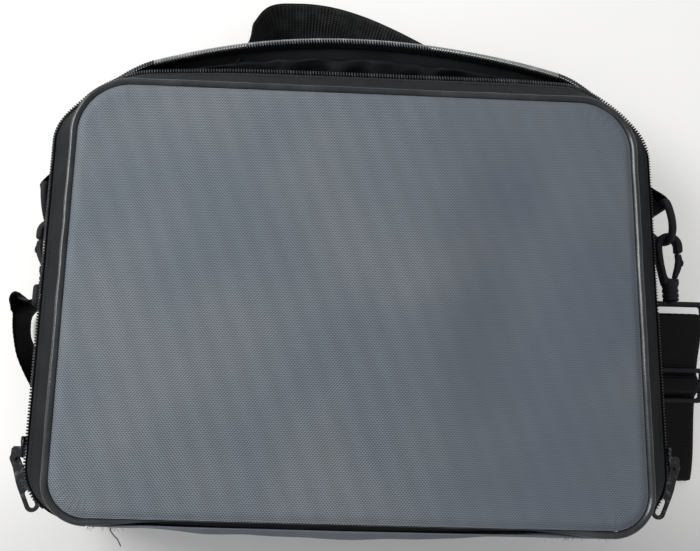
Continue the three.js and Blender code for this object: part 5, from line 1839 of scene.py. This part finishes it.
@dataclass(frozen=True)
class StrapEnd:
    """One end of the shoulder strap: tab, ring, hook, gate and swivelling loop. Sizes are in millimetres.

    Attributes:
        name: Which end.
        side: 1 on the right and -1 on the left.
        x: The ring bar's place out from the middle.
        y: Its place along the side.
        z: Its height.
        swing: How far the ring swings out, in degrees.
        turned: True where the loop stands on edge.
    """

    name: str
    side: int
    x: float
    y: float
    z: float
    swing: float
    turned: bool

    RING_BAR = 5.0
    RING_HALF = 22.5
    RING_DEPTH = 25.0
    TAB = 34.0
    SEAT = 31.6
    LOOP_TOP = -11.3
    LOOP_HEIGHT = 15.2
    LOOP_BAR = 3.6
    SLOT = 40.0

    @property
    def hook(self) -> Array:
        """The hook's own origin, on its swivel axis, with x measured out from the middle."""
        turn = math.radians(self.swing)
        return at_mm(self.x + self.RING_DEPTH * math.sin(turn),
                     self.y - self.RING_DEPTH * math.cos(turn) - self.SEAT, self.z)

    def place(self, origin: Sequence[float], *moves: Matrix) -> Matrix:
        """Returns the matrix from a piece's own millimetres to the part's frame, mirrored on the left."""
        return mirrored(self.side, origin, *moves)

    def build(self) -> None:
        """Builds the whole end."""
        self.tab()
        self.ring()
        self.claw()
        self.gate()
        self.loop()

    def tab(self) -> None:
        """Builds the tab: webbing folded round the ring's bar, with both ends sewn to the gusset."""
        reach = self.RING_BAR / 2 + 0.3 + 1
        inner, lapped = FORM.rim_edge.half_width + FORM.cloth_out + 1.3, 2.3
        lap_y = self.y + reach + 6
        turn = np.radians(-135 + 180 * np.arange(9) / 8)
        points = [(inner, self.y + self.TAB), (inner, lap_y)]
        points += [(self.x + reach * math.cos(a), self.y + reach * math.sin(a)) for a in turn]
        points += [(inner + lapped, lap_y + lapped), (inner + lapped, self.y + self.TAB)]
        centres = np.array([(self.side * x, y, self.z) for x, y in points])
        halves = np.tile(at_mm(0, 0, WEB.width / 2), (len(points), 1))
        made = WEB.weave(f"{self.name}_tab_webbing", Route(centres, halves), 0.1)
        settle(made, WEBBING, Body.CASE, Slot.WEBBING, f"{self.name}_tab")
        face = inner + lapped + 0.9
        corners = [at_mm(self.side * face, self.y + y, self.z + z)
                   for y, z in ((self.TAB - 2.5, -16), (self.TAB - 2.5, 16), (13.5, 16), (13.5, -16))]
        thread = box_stitch(f"{self.name}_tab_stitches", corners, at_mm(self.side, 0, 0))
        settle(thread, BLACK_THREAD, Body.CASE, Slot.WEBBING)

    def ring(self) -> None:
        """Builds the moulded D ring."""
        bend = np.linspace(0, math.pi, 61)
        bow = np.stack([0 * bend, -self.RING_DEPTH * np.sin(bend), self.RING_HALF * np.cos(bend)], 1)
        ends = np.linspace(-self.RING_HALF, self.RING_HALF, 27)[1:-1]
        bar = np.stack([0 * ends, 0 * ends, ends], 1)
        path = np.concatenate([bow, bar])
        for _ in range(3):
            path = (np.roll(path, 1, 0) + 2 * path + np.roll(path, -1, 0)) / 4
        half = self.RING_BAR / 2
        section = circle(half, 20)
        section = np.sign(section) * np.abs(section / half) ** 0.86 * half
        across = np.tile(at_mm(1, 0, 0), (len(path), 1))
        made = swept(f"{self.name}_d_ring", path, across, section, closed=True)
        turn = Matrix.Rotation(math.radians(self.swing), 4, "Z")
        made.data.transform(self.place((self.x, self.y, self.z), turn))
        settle(face_outwards(made), ACETAL, f"{self.name}_ring", Slot.PLASTIC, f"{self.name}_ring")

    def claw(self) -> None:
        """Builds the hook: a moulded claw on a ribbed barrel."""
        outline = [(-5.4, 0.2), (-6.4, 5), (-7.7, 12), (-9, 19), (-9.55, 24)]
        outline += arc_points(0, 28, 9.6, 180, 0, 24)
        outline += [(9.6, 24.4), (8.8, 23.5), (5.8, 23.5), (5, 24.4)] + arc_points(0, 28, 5, 0, 180, 18)
        outline += [(-5, 23), (-4.3, 15), (-3.2, 8), (-2.3, 5.4), (-1.2, 4.7), (4.6, 4.7), (5.4, 4),
                    (5.4, 0.2)]
        here = self.place(self.hook)
        body = plate(f"{self.name}_claw", [outline], 8, 1.5, here)
        profile = [(2.85, 2.2), (5.1, 2.2), (5.5, 1.6), (5.5, -1.2), (5.0, -1.6), (5.0, -2.4), (5.5, -2.8),
                   (5.5, -4.6), (5.0, -5), (5.0, -5.8), (5.5, -6.2), (5.5, -8), (5.0, -8.4), (5.0, -9.2),
                   (5.5, -9.6), (5.3, -10.7), (4.8, -11), (2.85, -11)]
        angles = np.linspace(0, 2 * np.pi, 40, endpoint=False)
        rings = np.array([[(r * math.cos(a), y, r * math.sin(a)) for a in angles] for r, y in profile])
        barrel = grid_object(f"{self.name}_barrel", rings, True, True)
        barrel.data.transform(here)
        cap = turned_solid(f"{self.name}_cap", [(0, 2.4), (4.6, 2.4), (4.6, 0.6), (0, 0.6)], here, 32)
        whole = joined(f"{self.name}_snap_hook", [body, face_outwards(barrel), cap])
        settle(face_outwards(whole), ACETAL, f"{self.name}_hook", Slot.PLASTIC, f"{self.name}_hook")

    def gate(self) -> None:
        """Builds the sprung gate, which bows out from the hook's mouth, with its thumb ridge."""
        inner = [(2.5, 6.4), (3.4, 9.5), (4.6, 13.5), (5.5, 18), (5.4, 22.9)]
        outer = [(8.6, 22.4), (9.3, 19.5), (9.2, 16.5), (8.2, 12), (6.6, 8.4), (5.5, 6.4)]
        foot = arc_points(4, 6.4, 1.5, -20, -160, 7)
        here = self.place(self.hook)
        bar = plate(f"{self.name}_gate_bar", [inner + outer + foot], 5, 0.9, here)
        thumb = [(8.4, 13.4), (9.4, 14), (9.9, 16), (9.6, 18), (8.8, 18.6)]
        ridge = plate(f"{self.name}_gate_ridge", [thumb], 5.4, 0.5, here)
        whole = face_outwards(joined(f"{self.name}_sprung_gate", [bar, ridge]))
        settle(whole, ACETAL, f"{self.name}_gate", Slot.PLASTIC, f"{self.name}_gate")

    def loop(self) -> None:
        """Builds the swivelling loop on its headed stem."""
        half, top, low = self.SLOT / 2 + self.LOOP_BAR, self.LOOP_TOP, self.LOOP_TOP - self.LOOP_HEIGHT
        frame = rounded(half, top, low, 4.2)
        slot = rounded(self.SLOT / 2, top - self.LOOP_BAR, low + self.LOOP_BAR, 1.6)
        turn = Matrix.Rotation(math.pi / 2 if self.turned else 0, 4, "Y")
        here = self.place(self.hook, turn)
        bow = plate(f"{self.name}_loop_frame", [frame, slot], 4.4, 1.4, here)
        profile = [(0, -3.8), (3.2, -3.8), (3.6, -4.4), (3.6, -6.6), (2.5, -7.3), (2.5, top + 0.2),
                   (4.2, top - 0.8), (4.6, top - 2.4), (0, top - 2.6)]
        stem = turned_solid(f"{self.name}_stem", profile, here, 28)
        whole = face_outwards(joined(f"{self.name}_swivel_loop", [bow, stem]))
        settle(whole, ACETAL, Body.CASE, Slot.PLASTIC, f"{self.name}_loop")


def rounded(half: float, top: float, low: float, radius: float, steps: int = 7) -> list[Point]:
    """Returns a rounded rectangle.

    Args:
        half: Half of its width.
        top: Its upper edge.
        low: Its lower edge.
        radius: The radius of its corners.
        steps: How many steps round each corner.

    Returns:
        Its points, anticlockwise.
    """
    points = []
    upper, lower = top - radius, low + radius
    for x, y, start in ((1, upper, 0), (-1, upper, 90), (-1, lower, 180), (1, lower, 270)):
        points += arc_points(x * (half - radius), y, radius, start, start + 90, steps)
    return points


RIGHT_END = StrapEnd("right", 1, 213.5, 76.0, 35.0, 22.0, False)
LEFT_END = StrapEnd("left", -1, 208.4, 76.0, 26.0, -2.0, True)


class ShoulderStrap:
    """The shoulder strap and its adjuster, lying as in the photograph and crossing under the case."""

    BAR_Y = -24.7
    LAP = 24.0
    TURN = 3.2
    FAR_END = 112.0
    CROSSING = 62.0
    STACKED = 2.3
    FLAT = 1.0
    ADJUSTER_PLACE = 44.0
    ADJUSTER_LENGTH = 24.4
    REACH = 16.0
    RUN = 50.0
    UNDER = ((0.6, -0.06), (0.36, 0.2), (0.13, 0.12), (-0.13, -0.12), (-0.38, -0.24), (-0.64, -0.24))
    # Out from the bar, back along the side, quarter turns on edge, and height as a share of the bar's.
    LOOP = ((-0.7, -0.87, 0, 0), (-0.22, -0.85, 0.2, 0.24), (0.22, -0.77, 0.45, 0.5),
            (0.6, -0.62, 0.75, 0.72), (0.88, -0.41, 0.95, 0.79), (1, -0.18, 1.05, 0.79),
            (0.96, -0.02, 1.12, 0.81), (0.76, 0.07, 1.16, 0.86), (0.46, 0.06, 1.1, 0.93))
    THREAD = ((0.56, -1), (0.34, -1), (0.1, 1), (-0.1, 1), (-0.34, -1), (-0.56, -1))

    def __init__(self) -> None:
        """Finds the bars that the strap wraps and the slope of its right run."""
        self.wrap = math.hypot(3.6, 4.4) / 2 + 0.3 + WEB.thickness / 2
        self.right = RIGHT_END.hook + at_mm(0, self.BAR_Y, 0)
        self.left = LEFT_END.hook * at_mm(-1, 1, 1) + at_mm(0, self.BAR_Y, 0)
        self.turn = at_mm(self.right[0], -self.FAR_END + self.TURN, self.FLAT + self.TURN)
        climb = self.right[2] + self.wrap - self.turn[2] - self.TURN
        self.slope = math.atan2(climb, self.right[1] - self.turn[1])
        self.adjuster = at_mm(self.right[0], self.right[1] - self.ADJUSTER_PLACE,
                              self.right[2] + self.wrap - self.ADJUSTER_PLACE * math.tan(self.slope))

    def arc(self, centre: Array, radius: float, start: float, end: float, flat: bool) -> list[Array]:
        """Returns points of an arc in the XY plane where flat is true, and in the YZ plane where not."""
        points = []
        for k in range(9):
            angle = math.radians(start + (end - start) * k / 8)
            a, b = radius * math.cos(angle), radius * math.sin(angle)
            points.append(centre + (at_mm(a, b, 0) if flat else at_mm(0, a, b)))
        return points

    def route(self) -> Route:
        """Returns the whole strap's route, from its lap at the right loop to its lap at the left one."""
        slope, degrees = self.slope, math.degrees(self.slope)
        lift = 1.1 + 0.3 + WEB.thickness / 2
        along, out = at_mm(0, math.cos(slope), math.sin(slope)), at_mm(0, -math.sin(slope), math.cos(slope))
        centres = [self.right + at_mm(0, -self.LAP, -self.wrap - self.LAP * math.tan(slope))]
        centres += self.arc(self.right, self.wrap, degrees - 90, degrees + 90, False)
        centres += [self.adjuster + along * share * self.ADJUSTER_LENGTH + out * up * lift
                    for share, up in self.THREAD]
        centres += self.arc(self.turn, self.TURN, degrees + 90, 270, False)
        half = WEB.width / 2
        halves = [at_mm(half, 0, 0)] * len(centres)
        fold = at_mm(self.right[0], -self.CROSSING, self.FLAT)
        crease, leaving, s = at_mm(half, -half, 0), at_mm(1, 1, 0) / math.sqrt(2), self.STACKED
        centres += [fold + at_mm(0, -half - 3 * s, s), fold - leaving * s + at_mm(0, 0, s),
                    fold + leaving * s / 2 + at_mm(0, 0, s / 2), fold - leaving * s,
                    fold + at_mm(-half - 3 * s, 0, 0)]
        halves += [at_mm(half, 0, 0), crease, crease, crease, at_mm(0, -half, 0)]
        under = [at_mm(x * FORM.panel_width / 2, y * FORM.panel_length / 2, self.FLAT) for x, y in self.UNDER]
        loop_centres, loop_halves = [], []
        for outward, back, edge, height in self.LOOP:
            angle = edge * math.pi / 2
            z = max(self.FLAT + math.sin(angle) * half, self.FLAT + (self.left[2] - self.FLAT) * height)
            loop_centres.append(at_mm(self.left[0] - self.REACH * outward, self.left[1] + self.RUN * back, z))
            loop_halves.append(at_mm(0, -math.cos(angle), math.sin(angle)) * half)
        chain = [centres[-1], *under, loop_centres[0]]
        for before, after in zip(chain, chain[2:]):
            halves.append(unit(np.cross(UP, (after - before) * at_mm(1, 1, 0))) * half)
        ending = self.arc(self.left, self.wrap, 120, 0, True)
        ending += [self.left + at_mm(self.wrap, -self.LAP / 2, 0)]
        return Route(np.array(centres + under + loop_centres + ending),
                     np.array(halves + loop_halves + [at_mm(0, 0, half)] * len(ending)))

    def build(self) -> None:
        """Builds the strap and the adjuster."""
        made = WEB.weave("strap_webbing", self.route(), 0.2)
        settle(made, WEBBING, Body.CASE, Slot.WEBBING, "shoulder_strap")
        here = mirrored(1, self.adjuster, Matrix.Rotation(self.slope, 4, "X"))
        half = self.ADJUSTER_LENGTH / 2
        slots = [rounded(20, y + 7.4, y, 1.2) for y in (1.6, -9.0)]
        buckle = plate("adjuster_buckle", [rounded(23.6, half, -half, 3.4), *slots], 2.2, 0.8, here)
        settle(face_outwards(buckle), ACETAL, Body.CASE, Slot.PLASTIC, "strap_adjuster")


class Wear:
    """The frayed corners of the base cloth and the loose thread that hangs from one of them."""

    SEED = 7
    # The loose thread's points, from where it leaves the cloth.
    THREAD = ((0, 0, 0), (0.4, -2.4, -1.5), (1.9, -5.2, -4), (3.4, -7.4, -7), (3.7, -9.5, -10.5),
              (4.5, -12.2, -13.5))

    def build(self) -> None:
        """Builds the tufts and the thread."""
        chance = random.Random(self.SEED)
        for name, u, spread in (("left", 42.35, 0.35), ("right", 49.45, 0.5)):
            hairs = []
            for k in range(15):
                at = np.array([u + chance.uniform(-spread, spread)])
                root = FORM.lid_wall(at, np.array([1.0]))[0]
                root = root + at_mm(0, -0.2, -1.2 + chance.uniform(-1.5, 0.8))
                lean = unit(at_mm(chance.uniform(-1, 1), -1.0, chance.uniform(-0.3, 0.9)))
                hairs.append(self.hair(f"tuft_{name}_{k}", root, lean, chance.uniform(1.2, 3.0), chance))
            settle(joined(f"frayed_corner_{name}", hairs), GREY_YARN, Body.LID, Slot.TWILL)
        start = FORM.lid_wall(np.array([42.38]), np.array([0.85]))[0]
        points = np.array([start + at_mm(*offset) for offset in self.THREAD])
        marks = np.arange(len(points), dtype=float)
        path = smoothed(points, marks, np.linspace(0, marks[-1], 40))
        thread = swept("loose_thread", path * MM, np.tile(at_mm(1, 0, 0.2), (40, 1)), circle(0.32 * MM, 6))
        settle(thread, BLACK_THREAD, Body.LID, Slot.TWILL)

    def hair(self, name: str, root: Array, lean: Array, length: float, chance: random.Random) -> Piece:
        """Returns one curved fibre that grows from a root."""
        bend = at_mm(chance.uniform(-0.5, 0.5), chance.uniform(-0.3, 0.3), chance.uniform(-0.6, 0.2))
        t = np.linspace(0, 1, 6)[:, None]
        path = root + (lean * t + bend * t * t) * length
        return swept(name, path * MM, np.tile(at_mm(0.3, 0.2, 1), (6, 1)), circle(0.13 * MM, 4))


# The view


@dataclass(frozen=True)
class View:
    """The camera that the photograph was taken with, as fitted to its panel's corners.

    Attributes:
        eye: Its place in millimetres.
        tilt: How far it looks towards +Y from straight down, in radians.
        yaw: How far it looks towards +X.
        roll: How far it is turned about its own line of sight.
        lens: Its focal length for a 36 mm sensor.
    """

    eye: tuple[float, float, float] = (-35.4, -94.3, 602.0)
    tilt: float = 0.2024
    yaw: float = 0.0578
    roll: float = 0.0284
    lens: float = 43.46

    def build(self) -> None:
        """Makes the camera and sets it as the scene's own."""
        view, up, right = (at_mm(0, math.sin(self.tilt), -math.cos(self.tilt)),
                           at_mm(0, math.cos(self.tilt), math.sin(self.tilt)), at_mm(1, 0, 0))
        cos, sin = math.cos(self.yaw), math.sin(self.yaw)
        view, right = cos * view + sin * right, cos * right - sin * view
        cos, sin = math.cos(self.roll), math.sin(self.roll)
        right, up = cos * right + sin * up, cos * up - sin * right
        data = bpy.data.cameras.new("view")
        data.sensor_width = 36
        data.lens = self.lens
        data.clip_start = 0.01
        camera = linked("view", data)
        turned_to = Matrix(np.stack([right, up, -view], 1).tolist()).to_4x4()
        camera.matrix_world = Matrix.Translation(Vector(self.eye) * MM) @ turned_to
        bpy.context.scene.camera = camera


@dataclass(frozen=True)
class Studio:
    """A white table under a broad soft light from the upper left.

    Attributes:
        sky: The strength of the even light from all round.
        key: The power of the large lamp, in watts.
        paper: The sRGB colour of the table.
        glow: How much light the table adds for the camera alone, so that it looks white but keeps its shadow;
            it fades in an oval in front of the case, which paints a shadow there.
    """

    sky: float = 0.45
    key: float = 11.0
    paper: str = "F4F3F1"
    glow: float = 0.3

    # The table's half width, and how far under the case's lowest face it lies, in metres.
    TABLE = 3
    UNDER = 0.0004

    def build(self) -> None:
        """Builds the table, the lamp and the sky, and shows colours as they are."""
        world = bpy.data.worlds.new("sky")
        world.use_nodes = True
        tree = world.node_tree
        back = tree.nodes["Background"]
        back.inputs["Color"].default_value = linear("F6F7FA")
        back.inputs["Strength"].default_value = self.sky
        bpy.context.scene.world = world
        bpy.context.scene.view_settings.view_transform = "Standard"
        half = self.TABLE
        corners = [(-half, -half, -self.UNDER), (half, -half, -self.UNDER), (half, half, -self.UNDER),
                   (-half, half, -self.UNDER)]
        table = mesh_object("table", np.array(corners), [(0, 1, 2, 3)], False)
        paper = bpy.data.materials.new("matt_paper")
        paper.use_nodes = True
        shader = paper.node_tree.nodes["Principled BSDF"]
        fill(shader, {"Base Color": linear(self.paper), "Roughness": 0.9, "Specular IOR Level": 0.1,
                      "Emission Color": linear("FFFEFA")})
        ground = paper.node_tree
        seen = add_node(ground, "ShaderNodeLightPath").outputs["Is Camera Ray"]
        # A painted shadow: the glow fades in an oval pool on the table just in front of the case's base.
        place = add_node(ground, "ShaderNodeTexCoord").outputs["Object"]
        spread = {"Vector": place, "Location": (0.0, 0.2, 0.0)}
        shifted = add_node(ground, "ShaderNodeMapping", spread, vector_type="POINT").outputs["Vector"]
        squeeze = {"Vector": shifted, "Scale": (1.7, 8.0, 1.0)}
        squeezed = {"Vector": add_node(ground, "ShaderNodeMapping", squeeze).outputs["Vector"]}
        painted_shadow_pool = add_node(ground, "ShaderNodeTexGradient", squeezed, gradient_type="SPHERICAL").outputs["Fac"]
        fade = {"Value": painted_shadow_pool, "From Min": 0.0, "From Max": 0.7, "To Min": self.glow, "To Max": 0.06}
        glow_outside_painted_shadow = add_node(ground, "ShaderNodeMapRange", fade, interpolation_type="SMOOTHSTEP").outputs["Result"]
        ground.links.new(maths(ground, "MULTIPLY", seen, glow_outside_painted_shadow), shader.inputs["Emission Strength"])
        table.data.materials.append(paper)
        self.lamp("window", (-0.95, 0.45, 0.9), 0.7, self.key)

    def lamp(self, name: str, place: tuple[float, float, float], size: float, power: float) -> None:
        """Hangs one square soft lamp that faces the case.

        Args:
            name: The lamp's name.
            place: Where it hangs, in metres.
            size: The length of its side.
            power: Its power in watts.
        """
        data = bpy.data.lights.new(name, "AREA")
        data.size = size
        data.energy = power
        lamp = linked(name, data)
        lamp.location = place
        lamp.rotation_euler = (-Vector(place)).to_track_quat("-Z", "Y").to_euler()


def finish_carried(frame: dict) -> None:
    """Gives the CAD nodes that show as they are their own materials.
    """
    for node, finish in (("right_zip_stop", ENAMEL), ("left_zip_stop", ENAMEL), ("lid_board", BOARD)):
        mesh = frame["nodes"][node].data
        mesh.materials.clear()
        mesh.materials.append(finish.build())


def main() -> None:
    """Builds the dressed case in order: cloth, zip, lining, webbing, fittings, wear and the view."""
    logging.basicConfig(level=logging.INFO, format="%(message)s")
    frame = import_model()
    PipedPanels().build()
    Walls().build()
    Zip().build()
    SliderShape().build("right", 1)
    SliderShape().build("left", -1)
    Inside().build()
    CarryHandle().build()
    RIGHT_END.build()
    LEFT_END.build()
    ShoulderStrap().build()
    Wear().build()
    finish_carried(frame)
    Studio().build()
    View().build()


if __name__ == "__main__":
    main()
